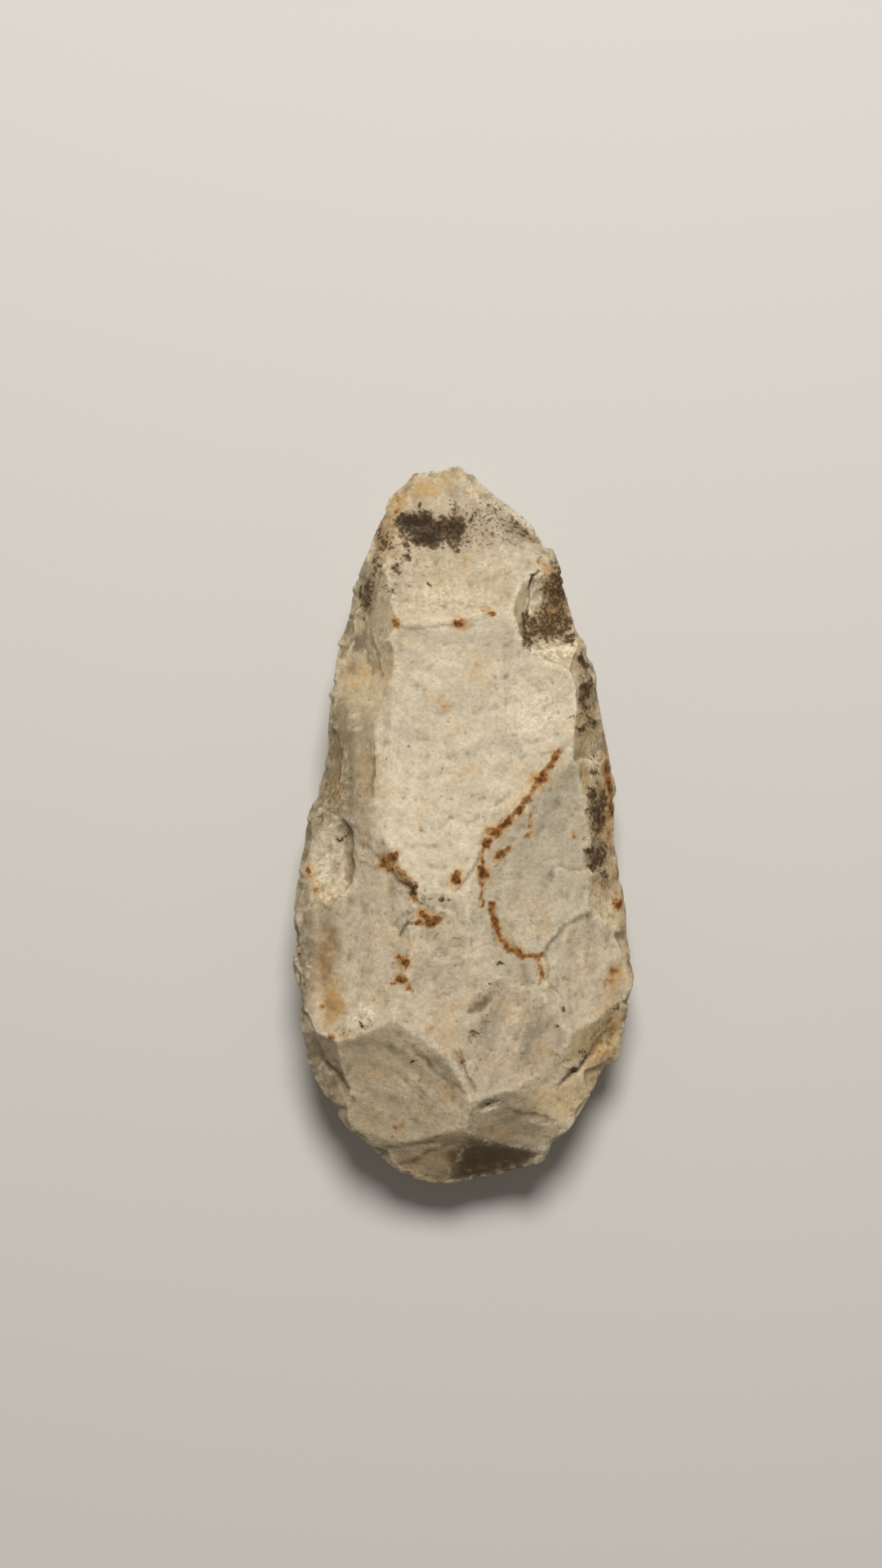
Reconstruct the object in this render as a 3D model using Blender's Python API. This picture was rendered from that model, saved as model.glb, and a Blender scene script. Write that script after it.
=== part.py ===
"""A flint hand axe lying on its plainer face, its tip towards +Y. Metres, +Z up."""

import math
import random

import bmesh
import bpy

# The whole axe.
AXE_LENGTH = 0.115
AXE_WIDTH = 0.0544
AXE_THICKNESS = 0.027

# How finely a flake scar is faceted, and how far a cutter stands clear of the flint.
FACET_SIZE = 0.0029
CUTTER_CLEARANCE = 0.004

# The slopes below are those of an axe half as thick as it is wide.
THICKNESS_FOR_SLOPES = 0.5

# The small chips struck along the edge on both faces.
CHIP_SPACING = 0.0068
CHIP_RADIUS_ALONG = (0.009, 0.016)
CHIP_RADIUS_ACROSS = (0.0045, 0.0068)
CHIP_SLOPE = (51, 61)
CHIP_TURN = 20
CHIP_REACH = 0.010
CHIP_CLIMB = 0.009
CHIP_FACETS = 5
CHIP_SEED = 11

# The worn edge between the two faces: half its thickness, and where it lies between them.
EDGE_HALF_WALL = (0.0003, 0.0009)
EDGE_TOWARDS_FRONT = 0.65
EDGE_LOWEST = 0.42
EDGE_HIGHEST = 0.57

FLINT_COLOUR = (0.60, 0.51, 0.36, 1.0)
FLINT_ROUGHNESS = 0.72

# Outline from the tip down: place along the length, left edge and right edge,
# as shares of the length and the width from the middle.
OUTLINE = (
    (0.500, -0.100, -0.008),
    (0.491, -0.150, 0.022),
    (0.478, -0.186, 0.050),
    (0.461, -0.214, 0.094),
    (0.430, -0.243, 0.176),
    (0.398, -0.268, 0.222),
    (0.383, -0.279, 0.262),
    (0.353, -0.306, 0.284),
    (0.300, -0.332, 0.311),
    (0.258, -0.357, 0.354),
    (0.212, -0.378, 0.390),
    (0.168, -0.395, 0.400),
    (0.105, -0.399, 0.422),
    (0.051, -0.429, 0.450),
    (0.012, -0.462, 0.444),
    (-0.023, -0.467, 0.441),
    (-0.060, -0.484, 0.455),
    (-0.113, -0.497, 0.477),
    (-0.155, -0.496, 0.482),
    (-0.190, -0.500, 0.500),
    (-0.270, -0.481, 0.480),
    (-0.322, -0.458, 0.456),
    (-0.334, -0.448, 0.414),
    (-0.374, -0.409, 0.370),
    (-0.418, -0.345, 0.312),
    (-0.438, -0.296, 0.260),
    (-0.457, -0.253, 0.237),
    (-0.483, -0.175, 0.140),
    (-0.500, -0.090, 0.010),
)

# Flake scars of the upper face. Each is a shallow dish:
# place across and along, height of its middle (shares of width, length, thickness),
# the way it faces in degrees (0 to the right, 90 to the tip), its slope in degrees,
# its radii along and across that way and the reach of its cutter (shares of the length).
FRONT_SCARS = {
    "tip": (-0.048, 0.365, 0.693, 92, 20, 0.70, 0.96, 0.22),
    "middle": (0.029, 0.127, 0.844, 98, 4.5, 1.30, 1.10, 0.28),
    "grey": (0.251, -0.032, 0.796, -23, 18, 0.43, 0.52, 0.28),
    "leaf": (0.371, -0.194, 0.663, 2, 30, 0.31, 0.28, 0.17),
    "crown": (-0.019, -0.191, 0.957, -75, 3, 1.74, 1.04, 0.20),
    "crown_right": (0.173, -0.271, 0.855, -38, 13, 0.70, 0.61, 0.19),
    "lower_left": (-0.328, -0.169, 0.763, 172, 27, 0.35, 0.43, 0.20),
    "butt": (-0.195, -0.348, 0.796, -122, 27, 0.78, 0.70, 0.20),
    "crescent": (-0.414, -0.356, 0.570, 205, 44, 0.10, 0.14, 0.12),
    "butt_left": (-0.188, -0.464, 0.552, -112, 42, 0.52, 0.52, 0.15),
    "butt_middle": (-0.080, -0.455, 0.596, -97, 47, 0.52, 0.52, 0.15),
    "butt_dark": (0.070, -0.455, 0.588, -80, 53, 0.87, 0.52, 0.15),
    "butt_right": (0.173, -0.421, 0.644, -60, 33, 0.31, 0.35, 0.15),
    "ochre": (0.294, -0.364, 0.674, -45, 33, 0.43, 0.52, 0.16),
    "ochre_edge": (0.434, -0.294, 0.541, -20, 44, 0.26, 0.26, 0.14),
    "left_step": (-0.280, 0.081, 0.870, 172, 26, 0.26, 3.50, 0.22),
    "left_strip": (-0.369, 0.093, 0.674, 174, 40, 0.26, 1.70, 0.24),
    "notch": (-0.323, 0.234, 0.652, 190, 30, 0.12, 0.09, 0.10),
    "upper_left": (-0.308, 0.326, 0.607, 168, 40, 0.52, 0.52, 0.16),
    "tip_left": (-0.212, 0.434, 0.563, 140, 38, 0.52, 0.87, 0.16),
    "tip_right": (0.120, 0.416, 0.600, 50, 36, 0.52, 0.87, 0.18),
    "hollow": (0.253, 0.306, 0.607, 12, 30, 0.061, 0.070, 0.095),
    "right_strip": (0.366, 0.184, 0.776, 5, 58, 0.70, 1.04, 0.17),
    "right_edge": (0.429, 0.030, 0.533, 2, 58, 0.52, 0.87, 0.19),
    "right_nick": (0.427, -0.084, 0.578, -10, 45, 0.12, 0.07, 0.08),
    "nodule": (-0.393, -0.044, 0.644, 178, 24, 0.060, 0.095, 0.095),
}

# Flake scars of the underside, seen through the axe. They leave the flat it rests on.
BACK_SCARS = {
    "middle": (0.020, 0.150, 0.138, 83, 9.5, 1.20, 0.90, 0.26),
    "tip": (-0.040, 0.400, 0.300, 96, 20, 0.80, 0.90, 0.20),
    "tip_left": (-0.200, 0.380, 0.355, 150, 33, 0.50, 0.70, 0.18),
    "tip_right": (0.160, 0.370, 0.350, 35, 34, 0.50, 0.70, 0.18),
    "upper_left": (-0.300, 0.200, 0.290, 170, 34, 0.42, 0.50, 0.19),
    "left": (-0.330, 0.020, 0.250, 186, 30, 0.36, 0.45, 0.19),
    "lower_left": (-0.330, -0.190, 0.252, 176, 30, 0.40, 0.50, 0.20),
    "upper_right": (0.300, 0.170, 0.290, 6, 36, 0.45, 0.50, 0.19),
    "right": (0.330, 0.000, 0.240, -8, 28, 0.38, 0.42, 0.19),
    "lower_right": (0.345, -0.180, 0.262, 5, 33, 0.36, 0.45, 0.20),
    "butt_left": (-0.270, -0.370, 0.250, -138, 30, 0.50, 0.50, 0.20),
    "butt": (-0.020, -0.400, 0.220, -94, 22, 0.60, 0.60, 0.20),
    "butt_right": (0.270, -0.350, 0.250, -42, 31, 0.50, 0.50, 0.20),
}

UPPER = 1
LOWER = -1


def clear_scene():
    for item in list(bpy.data.objects):
        bpy.data.objects.remove(item, do_unlink=True)


def new_object(name, shape):
    mesh = bpy.data.meshes.new(name)
    bmesh.ops.recalc_face_normals(shape, faces=shape.faces)
    shape.to_mesh(mesh)
    shape.free()
    item = bpy.data.objects.new(name, mesh)
    bpy.context.scene.collection.objects.link(item)
    return item


def flint_material():
    material = bpy.data.materials.new("patinated_flint")
    material.use_nodes = True
    shader = material.node_tree.nodes["Principled BSDF"]
    shader.inputs["Base Color"].default_value = FLINT_COLOUR
    shader.inputs["Roughness"].default_value = FLINT_ROUGHNESS
    shader.inputs["Metallic"].default_value = 0.0
    return material


def edge_points():
    """The outline, anticlockwise from the tip: down the left side and up the right."""
    left = []
    right = []
    for along, left_edge, right_edge in OUTLINE:
        y = along * AXE_LENGTH
        left.append((left_edge * AXE_WIDTH, y))
        right.append((right_edge * AXE_WIDTH, y))
    return left + right[::-1]


def blank_slab():
    """The outline drawn up to the full thickness, before any flake is struck."""
    shape = bmesh.new()
    ring = [shape.verts.new((x, y, 0.0)) for x, y in edge_points()]
    base = shape.faces.new(ring)
    raised = bmesh.ops.extrude_face_region(shape, geom=[base])
    top = [item for item in raised["geom"] if isinstance(item, bmesh.types.BMVert)]
    bmesh.ops.translate(shape, verts=top, vec=(0.0, 0.0, AXE_THICKNESS))
    return new_object("flint_body", shape)


class Dish:
    """One flake scar: a shallow dish over the plan, struck on the upper or lower face."""

    def __init__(self, face, place, height, facing, fall, radii):
        self.face = face
        self.x, self.y = place
        self.height = height
        self.forward = (math.cos(facing), math.sin(facing))
        self.fall = fall
        self.along, self.across = radii

    def place_at(self, forward, sideways):
        x = self.x + forward * self.forward[0] - sideways * self.forward[1]
        y = self.y + forward * self.forward[1] + sideways * self.forward[0]
        return x, y

    def height_ahead(self, forward, sideways):
        rise = forward**2 / (2 * self.along) + sideways**2 / (2 * self.across)
        return self.height + self.face * (rise - forward * self.fall)

    def height_at(self, x, y):
        dx = x - self.x
        dy = y - self.y
        forward = dx * self.forward[0] + dy * self.forward[1]
        sideways = dy * self.forward[0] - dx * self.forward[1]
        return self.height_ahead(forward, sideways)


def scar_dish(face, scar):
    """The dish of one table row, in metres."""
    across, along, height, facing, slope, radius_along, radius_across, _ = scar
    place = (across * AXE_WIDTH, along * AXE_LENGTH)
    flatness = AXE_THICKNESS / AXE_WIDTH / THICKNESS_FOR_SLOPES
    fall = math.tan(math.radians(slope)) * flatness
    radii = (radius_along * AXE_LENGTH, radius_across * AXE_LENGTH)
    return Dish(face, place, height * AXE_THICKNESS, math.radians(facing), fall, radii)


def dish_cutter(name, dish, reach, side, steps):
    """A block whose one side is the dish, as far as reach each way and side across."""
    shape = bmesh.new()
    rows_across = max(2, round(side / reach * steps))
    surface = {}
    for i in range(steps + 1):
        forward = reach * (2 * i / steps - 1)
        for j in range(rows_across + 1):
            sideways = side * (2 * j / rows_across - 1)
            x, y = dish.place_at(forward, sideways)
            surface[i, j] = shape.verts.new((x, y, dish.height_ahead(forward, sideways)))
    for i in range(steps):
        for j in range(rows_across):
            corners = (surface[i, j], surface[i + 1, j], surface[i + 1, j + 1], surface[i, j + 1])
            shape.faces.new(corners)
    heights = [vert.co.z for vert in shape.verts]
    if dish.face == UPPER:
        far_side = max(max(heights), AXE_THICKNESS) + CUTTER_CLEARANCE
    else:
        far_side = min(min(heights), 0.0) - CUTTER_CLEARANCE
    bottom_edges = [edge for edge in shape.edges if edge.is_boundary]
    walls = bmesh.ops.extrude_edge_only(shape, edges=bottom_edges)
    rim = [item for item in walls["geom"] if isinstance(item, bmesh.types.BMVert)]
    for vert in rim:
        vert.co.z = far_side
    rim_edges = [edge for edge in shape.edges if edge.is_boundary]
    bmesh.ops.contextual_create(shape, geom=rim_edges)
    cutter = new_object(name, shape)
    cutter.hide_render = True
    cutter.display_type = "WIRE"
    return cutter


def strike(body, cutter):
    cut = body.modifiers.new(cutter.name, "BOOLEAN")
    cut.operation = "DIFFERENCE"
    cut.solver = "EXACT"
    cut.object = cutter


def strike_scars(body, face, face_name, scars):
    """Cuts every scar of one face and gives back their dishes."""
    dishes = []
    for name, scar in scars.items():
        dish = scar_dish(face, scar)
        reach = scar[-1] * AXE_LENGTH
        steps = max(4, round(2 * reach / FACET_SIZE))
        strike(body, dish_cutter(f"{face_name}_{name}", dish, reach, reach, steps))
        dishes.append(dish)
    return dishes


def places_along_edge(start):
    """Evenly spaced places on the outline, each with the way that faces outwards."""
    ring = edge_points()
    carried = start
    for (x0, y0), (x1, y1) in zip(ring, ring[1:] + ring[:1]):
        length = math.hypot(x1 - x0, y1 - y0)
        outward = math.atan2(x0 - x1, y1 - y0)
        while carried < length:
            share = carried / length
            yield x0 + (x1 - x0) * share, y0 + (y1 - y0) * share, outward
            carried += CHIP_SPACING
        carried -= length


def edge_height(top, bottom):
    """Where the worn edge lies between the two faces."""
    between = bottom + (top - bottom) * EDGE_TOWARDS_FRONT
    return min(max(between, EDGE_LOWEST * AXE_THICKNESS), EDGE_HIGHEST * AXE_THICKNESS)


def strike_chips(body, upper_dishes, lower_dishes):
    chance = random.Random(CHIP_SEED)
    for face, face_name, start in ((UPPER, "front", 0.0), (LOWER, "back", CHIP_SPACING / 2)):
        for count, (x, y, outward) in enumerate(places_along_edge(start)):
            top = min(dish.height_at(x, y) for dish in upper_dishes)
            bottom = max(dish.height_at(x, y) for dish in lower_dishes)
            height = edge_height(top, bottom) + face * chance.uniform(*EDGE_HALF_WALL)
            facing = outward + math.radians(chance.uniform(-CHIP_TURN, CHIP_TURN))
            fall = math.tan(math.radians(chance.uniform(*CHIP_SLOPE)))
            radii = (chance.uniform(*CHIP_RADIUS_ALONG), chance.uniform(*CHIP_RADIUS_ACROSS))
            chip = Dish(face, (x, y), height, facing, fall, radii)
            surface = top if face == UPPER else bottom
            climb = max(face * (surface - height), 0.0) + CHIP_CLIMB
            side = math.sqrt(2 * radii[1] * climb)
            name = f"{face_name}_chip_{count}"
            strike(body, dish_cutter(name, chip, CHIP_REACH, side, CHIP_FACETS))


def build():
    clear_scene()
    body = blank_slab()
    upper_dishes = strike_scars(body, UPPER, "front", FRONT_SCARS)
    lower_dishes = strike_scars(body, LOWER, "back", BACK_SCARS)
    strike_chips(body, upper_dishes, lower_dishes)
    body.data.materials.append(flint_material())


build()
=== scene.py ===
import math

import bmesh
import bpy
import numpy as np
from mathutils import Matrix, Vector


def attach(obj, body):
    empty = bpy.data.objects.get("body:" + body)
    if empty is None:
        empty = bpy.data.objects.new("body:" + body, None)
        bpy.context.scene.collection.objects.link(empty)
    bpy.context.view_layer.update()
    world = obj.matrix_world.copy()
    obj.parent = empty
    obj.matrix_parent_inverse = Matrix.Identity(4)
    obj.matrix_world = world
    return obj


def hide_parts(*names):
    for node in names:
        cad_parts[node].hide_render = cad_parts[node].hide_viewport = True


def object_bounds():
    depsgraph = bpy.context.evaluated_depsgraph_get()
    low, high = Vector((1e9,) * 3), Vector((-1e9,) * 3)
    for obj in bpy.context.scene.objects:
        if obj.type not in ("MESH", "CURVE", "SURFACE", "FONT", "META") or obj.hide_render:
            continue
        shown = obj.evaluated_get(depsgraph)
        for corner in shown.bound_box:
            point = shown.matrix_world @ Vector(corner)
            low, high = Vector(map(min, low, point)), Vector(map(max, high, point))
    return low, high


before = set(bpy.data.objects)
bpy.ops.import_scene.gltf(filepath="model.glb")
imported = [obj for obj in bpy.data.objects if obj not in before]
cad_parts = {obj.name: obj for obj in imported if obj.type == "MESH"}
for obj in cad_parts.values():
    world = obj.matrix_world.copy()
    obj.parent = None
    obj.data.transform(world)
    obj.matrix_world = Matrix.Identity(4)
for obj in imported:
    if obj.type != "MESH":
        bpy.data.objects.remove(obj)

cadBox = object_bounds()
print("frame loaded")

mm = 0.001
# places on the shown face are given in the picture's pixels; middle is the axe's own
picture = {"middle": (568.0, 1011.5), "mmPerPixel": 0.1307}

# the flint

# scars: middle across and along, its height, as shares of width, length and thickness; the way the
# scar faces, its slope, its radii along and across that way as shares of the length; its tint
# dents: place, half length, half width, turn, depth in mm, tilt in mm towards its end
# steps: a bent line, drop in mm on the right hand when walking along it, how far the drop fades,
# half width of the step itself in mm
# spots: place, half length, half width, turn, strength; lines: points, half width, strength

knappedFlint = {
    "size": (54.4, 115.0, 27.0),
    "voxel": 0.31,
    "mostTriangles": 196000,
    "ridgeWear": (0.07, 0.22),
    "tintBlend": 0.30,
    "rippleHeight": 0.040,
    "rippleLength": 3.4,
    "rippleReach": 30.0,
    "chipDepth": (0.30, 0.80),
    "flatHeight": 0.02,
    # little hollows that meet at low ridges: size and height in mm, seed
    "broadFacets": (8.5, 0.24, 21),
    "fineFacets": (3.1, 0.13, 22),
    "hiddenFacets": (8.0, 0.16, 23),
    "flatFacets": (6.0, 0.25, 24),
    # the fine surface: height and size of its lumps in mm, octaves, seed
    "surface": ((0.15, 8.0, 2, 6), (0.05, 2.4, 3, 7), (0.030, 0.8, 2, 8)),
    # how far ridges, steps and stains wander: size of the waves and reach in mm, seed
    "ridgeWander": (7.0, 0.42, 41),
    "stepWander": (3.2, 0.50, 43),
    "rustWander": (1.4, 0.42, 31),
    "blackWander": (1.4, 0.65, 33),
    "stainWander": (3.0, 0.9, 35),
    "shadowLineWander": (1.8, 0.4, 45),
    # from here to here along the stone, in mm, the ridges of the butt begin to wander
    "calmButt": (-52.0, -38.0),
    "nickReach": 1.1,
    # the colours for grime, hollows and the rim's dark patches are partly painted shade; the crest and
    # chalk colours are partly painted light
    "colours": {
        "warm": "#ffe6c4", "cool": "#f0ecea", "grey": "#82765f", "ochre": "#c49a5e",
        "chalkAndLight": "#ecdcbd", "grimeAndShade": "#5e472b", "crest": "#e2d4b7", "rimPale": "#cfc0a2",
        "rimShadeAndDirt": "#7c6a4a", "hollow": "#75664b", "speck": "#65543a",
        "rustHalo": "#bf8d50", "rustCrust": "#774a1e", "rustHeart": "#422711", "rustPale": "#a4682c",
        "blackHalo": "#75593a", "black": "#4b3822", "blackHeart": "#2e2211",
    },
    "frontScars": {
        "tip": (-0.048, 0.365, 0.693, 92, 20, 0.70, 0.96, "#c5b394"),
        "middle": (0.029, 0.127, 0.844, 98, 4.5, 1.30, 1.10, "#d6c6a9"),
        "grey": (0.251, -0.032, 0.796, -23, 18, 0.43, 0.52, "#cabb9f"),
        "leaf": (0.371, -0.194, 0.663, 2, 30, 0.31, 0.28, "#ccbb9e"),
        "crown": (-0.019, -0.191, 0.957, -75, 3, 1.74, 1.04, "#cebc9e"),
        "crownRight": (0.173, -0.271, 0.855, -38, 13, 0.70, 0.61, "#cab89b"),
        "lowerLeft": (-0.328, -0.169, 0.763, 172, 27, 0.35, 0.43, "#cfbd9f"),
        "butt": (-0.195, -0.348, 0.796, -122, 27, 0.78, 0.70, "#c8b492"),
        "crescent": (-0.414, -0.356, 0.570, 205, 44, 0.10, 0.14, "#b3a082"),
        "buttLeft": (-0.188, -0.464, 0.552, -112, 42, 0.52, 0.52, "#c3b08f"),
        "buttMiddle": (-0.080, -0.455, 0.596, -97, 47, 0.52, 0.52, "#cdb38c"),
        "buttDark": (0.070, -0.455, 0.570, -80, 53, 0.87, 0.52, "#755e42"),
        "buttRight": (0.173, -0.421, 0.644, -60, 33, 0.31, 0.35, "#b7a485"),
        "ochre": (0.294, -0.364, 0.674, -45, 33, 0.43, 0.52, "#ecd7ae"),
        "ochreEdge": (0.434, -0.294, 0.541, -20, 44, 0.26, 0.26, "#cdb489"),
        "leftStep": (-0.280, 0.081, 0.870, 172, 26, 0.26, 3.50, "#cebd9f"),
        "leftStrip": (-0.369, 0.093, 0.674, 174, 40, 0.26, 1.70, "#ab9878"),
        "notch": (-0.323, 0.234, 0.652, 190, 30, 0.12, 0.09, "#c8b490"),
        "upperLeft": (-0.308, 0.326, 0.607, 168, 40, 0.52, 0.52, "#b4a280"),
        "tipLeft": (-0.212, 0.434, 0.563, 140, 38, 0.52, 0.87, "#c3ab83"),
        "tipRight": (0.120, 0.416, 0.600, 50, 36, 0.52, 0.87, "#cabb9f"),
        "hollow": (0.253, 0.306, 0.607, 12, 30, 0.061, 0.070, "#c9b590"),
        "rightStrip": (0.366, 0.184, 0.776, 5, 58, 0.70, 1.04, "#cdbb9b"),
        "rightEdge": (0.429, 0.030, 0.533, 2, 58, 0.52, 0.87, "#c4aa80"),
        "rightNick": (0.427, -0.084, 0.578, -10, 45, 0.12, 0.07, "#d0bb93"),
        "nodule": (-0.393, -0.044, 0.644, 178, 24, 0.060, 0.095, "#cebb99"),
    },
    "backScars": {
        "flat": (0.0, -0.130, 0.0, 0, 0, 900, 900, "#c5b495"),
        "middle": (0.020, 0.150, 0.138, 83, 9.5, 1.20, 0.90, "#c7b697"),
        "tip": (-0.040, 0.400, 0.300, 96, 20, 0.80, 0.90, "#c6b08a"),
        "tipLeft": (-0.200, 0.380, 0.355, 150, 33, 0.50, 0.70, "#bca987"),
        "tipRight": (0.160, 0.370, 0.350, 35, 34, 0.50, 0.70, "#c2b194"),
        "upperLeft": (-0.300, 0.200, 0.290, 170, 34, 0.42, 0.50, "#c0af90"),
        "left": (-0.330, 0.020, 0.250, 186, 30, 0.36, 0.45, "#bbaa8c"),
        "lowerLeft": (-0.330, -0.190, 0.252, 176, 30, 0.40, 0.50, "#c4b088"),
        "upperRight": (0.300, 0.170, 0.290, 6, 36, 0.45, 0.50, "#bcac92"),
        "right": (0.330, 0.000, 0.240, -8, 28, 0.38, 0.42, "#c3b396"),
        "lowerRight": (0.345, -0.180, 0.262, 5, 33, 0.36, 0.45, "#bba98a"),
        "buttLeft": (-0.270, -0.370, 0.250, -138, 30, 0.50, 0.50, "#b5a486"),
        "butt": (-0.020, -0.400, 0.220, -94, 22, 0.60, 0.60, "#b19f80"),
        "buttRight": (0.270, -0.350, 0.250, -42, 31, 0.50, 0.50, "#bfab84"),
    },
    "dents": (
        (441, 790, 13, 12, 0, 0.45, 0.0), (426, 824, 20, 12, 10, 0.25, 0.1),
        (478, 1051, 16, 15, 0, 0.30, 0.0), (497, 1076, 20, 9, -40, 0.30, 0.1),
        (594, 1344, 15, 6, 25, 0.35, 0.0), (586, 1222, 20, 8, 40, 0.16, 0.0),
        (673, 1070, 6, 15, 0, 0.12, 0.0), (738, 1090, 22, 18, 20, 0.35, 0.1),
        (653, 728, 9, 15, -8, 0.30, 0.0), (648, 768, 9, 12, 10, 0.30, 0.0),
        (672, 776, 12, 9, 0, 0.25, 0.0),
        (678, 806, 26, 9, 4, 0.25, 0.0), (640, 650, 26, 11, -45, 0.30, 0.0),
        (672, 684, 12, 18, 20, 0.30, 0.0),
        (455, 1030, 22, 28, 0, 0.26, 0.0), (538, 1166, 46, 11, 42, 0.16, 0.0),
        (575, 1140, 40, 9, 55, 0.13, 0.0), (560, 1200, 60, 12, -25, 0.11, 0.0),
        (640, 1232, 66, 15, 62, 0.20, 0.0), (604, 1216, 52, 10, 60, 0.14, 0.0),
        (668, 1290, 46, 24, 62, 0.20, 0.0), (540, 1296, 52, 10, -48, 0.22, 0.0),
        (500, 1300, 40, 16, -45, 0.14, 0.0), (450, 1310, 40, 30, -30, 0.14, 0.0),
        (700, 1345, 34, 15, 38, 0.28, 0.0), (737, 1275, 22, 13, 60, 0.35, 0.0),
        (722, 835, 9, 18, 0, 0.35, 0.0), (716, 876, 12, 15, 0, 0.30, 0.0),
        (731, 985, 11, 28, 0, 0.30, 0.0), (726, 1048, 15, 16, 0, 0.32, 0.0),
        (432, 738, 9, 24, 12, 0.30, 0.0), (450, 690, 9, 22, 14, 0.28, 0.0),
        (418, 905, 12, 48, -2, 0.30, 0.0), (447, 900, 11, 60, 0, 0.16, 0.0),
        (472, 905, 9, 52, 0, 0.14, 0.0), (370, 1186, 9, 20, 0, 0.45, 0.0),
        (410, 975, 14, 12, 30, 0.40, 0.0), (392, 965, 10, 14, 0, 0.35, 0.0),
        (500, 610, 26, 18, 30, 0.20, 0.0), (560, 600, 24, 16, -30, 0.22, 0.0),
        (530, 650, 40, 14, 0, 0.16, 0.0), (600, 800, 60, 26, 5, 0.12, 0.0),
        (520, 900, 44, 50, 10, 0.11, 0.0), (640, 860, 46, 36, -30, 0.14, 0.0),
        (560, 1010, 50, 30, 20, 0.12, 0.0), (690, 970, 20, 46, -14, 0.20, 0.0),
        (650, 1085, 34, 40, 0, 0.18, 0.0), (640, 1135, 26, 26, 0, 0.16, 0.0),
        (400, 1150, 16, 46, 4, 0.22, 0.0), (440, 1170, 22, 50, 8, 0.16, 0.0),
        (412, 1232, 18, 22, 0, 0.24, 0.0), (715, 1180, 32, 44, -12, 0.20, 0.0),
        (750, 1200, 18, 30, 0, 0.26, 0.0), (500, 1420, 26, 12, -20, 0.24, 0.0),
        (590, 1412, 34, 18, -16, 0.20, 0.0), (650, 1385, 26, 14, -30, 0.20, 0.0),
    ),
    "steps": (
        (((454, 762), (459, 785), (464, 812), (470, 838)), 0.42, 1.6, 0.26),
        (((444, 766), (450, 790), (455, 816), (458, 836)), 0.22, 1.2, 0.18),
        (((430, 880), (434, 915), (433, 962), (430, 1000)), 0.26, 2.0, 0.60),
        (((461, 908), (460, 940), (457, 982)), 0.24, 1.4, 0.40),
        (((482, 850), (477, 905), (474, 966)), 0.12, 1.8, 0.70),
        (((406, 1002), (420, 1002), (431, 1013), (434, 1034), (435, 1056), (430, 1078), (420, 1096)),
         0.75, 1.2, 0.16),
        (((386, 986), (404, 992), (422, 1000)), -0.30, 1.4, 0.20),
        (((434, 1050), (452, 1055), (472, 1056)), 0.20, 1.2, 0.20),
        (((438, 1012), (448, 1030), (462, 1044), (478, 1062)), 0.18, 1.4, 0.22),
        (((663, 697), (650, 708), (645, 722), (647, 742), (640, 757), (638, 780), (645, 798)),
         -0.65, 2.0, 0.16),
        (((645, 798), (660, 800), (682, 794), (703, 784)), -0.45, 1.6, 0.20),
        (((661, 706), (664, 724), (660, 745), (654, 758)), -0.35, 1.2, 0.20),
        (((430, 800), (448, 801), (468, 800)), 0.14, 1.3, 0.30),
        (((498, 1262), (514, 1278), (532, 1300), (560, 1322), (580, 1336)), 0.34, 2.4, 0.50),
        (((545, 1266), (562, 1279), (574, 1312), (592, 1334)), 0.26, 1.8, 0.40),
        (((392, 1288), (414, 1306), (429, 1332), (434, 1347)), 0.45, 2.6, 0.40),
        (((744, 1248), (718, 1287), (703, 1303), (686, 1321), (668, 1329)), -0.50, 1.8, 0.25),
        (((764, 1112), (722, 1116), (692, 1127), (673, 1145), (663, 1166), (669, 1194), (692, 1228),
          (704, 1250)), -0.34, 3.0, 0.40),
        (((600, 1103), (603, 1124), (611, 1145), (625, 1159), (656, 1168)), -0.20, 1.8, 0.35),
        (((552, 1391), (524, 1390), (492, 1397), (448, 1402)), -0.42, 2.2, 0.40),
        (((560, 1388), (532, 1402), (508, 1415), (478, 1434)), -0.45, 3.0, 0.50),
        (((572, 1392), (562, 1410), (556, 1432)), 0.30, 2.6, 0.45),
        (((512, 1124), (501, 1127), (493, 1140)), 0.28, 1.2, 0.18),
        (((496, 1076), (507, 1084), (512, 1100)), 0.30, 1.2, 0.18),
        (((462, 1044), (482, 1062), (498, 1076), (516, 1098), (534, 1112)), 0.34, 1.8, 0.22),
        (((512, 1126), (506, 1146), (500, 1168), (490, 1196)), 0.26, 1.6, 0.30),
        (((540, 1106), (560, 1116), (574, 1140), (580, 1166)), -0.20, 1.8, 0.35),
        (((586, 1352), (600, 1341), (614, 1337)), -0.28, 1.2, 0.20),
        (((614, 1350), (645, 1358), (668, 1362), (690, 1378)), 0.26, 1.8, 0.25),
        (((704, 900), (680, 920), (655, 958), (622, 1003), (596, 1030), (566, 1072), (536, 1104)),
         -0.32, 1.6, 0.25),
        (((660, 1050), (700, 1062), (736, 1068)), -0.14, 1.6, 0.40),
        (((590, 650), (620, 662), (652, 672)), 0.20, 1.8, 0.35),
        (((462, 768), (500, 771), (528, 768), (560, 767), (592, 756), (626, 752)), 0.16, 1.8, 0.20),
        (((700, 905), (716, 892), (728, 884)), -0.22, 1.4, 0.22),
        (((600, 612), (628, 632), (654, 662)), 0.24, 1.4, 0.25),
        (((470, 690), (466, 712), (462, 735), (458, 758)), 0.26, 1.6, 0.22),
    ),
    # where the outline is moved outwards, in mm: place, reach in pixels, shift
    "edgeShifts": (
        (533, 572, 16, -0.75), (492, 590, 14, -0.75), (603, 600, 18, -0.25), (650, 644, 12, 0.40),
        (432, 722, 18, 0.65), (416, 795, 15, 0.85), (405, 846, 9, 0.60), (708, 768, 16, -0.55),
        (733, 845, 30, -0.30), (362, 1222, 20, -0.80), (383, 1308, 12, 0.60), (445, 1400, 20, -0.30),
        (500, 1436, 26, 0.45), (655, 1425, 22, 0.90), (748, 1303, 9, 0.60), (772, 1190, 24, 0.25),
    ),
    # grooves: a bent line, depth and half width in mm
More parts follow.
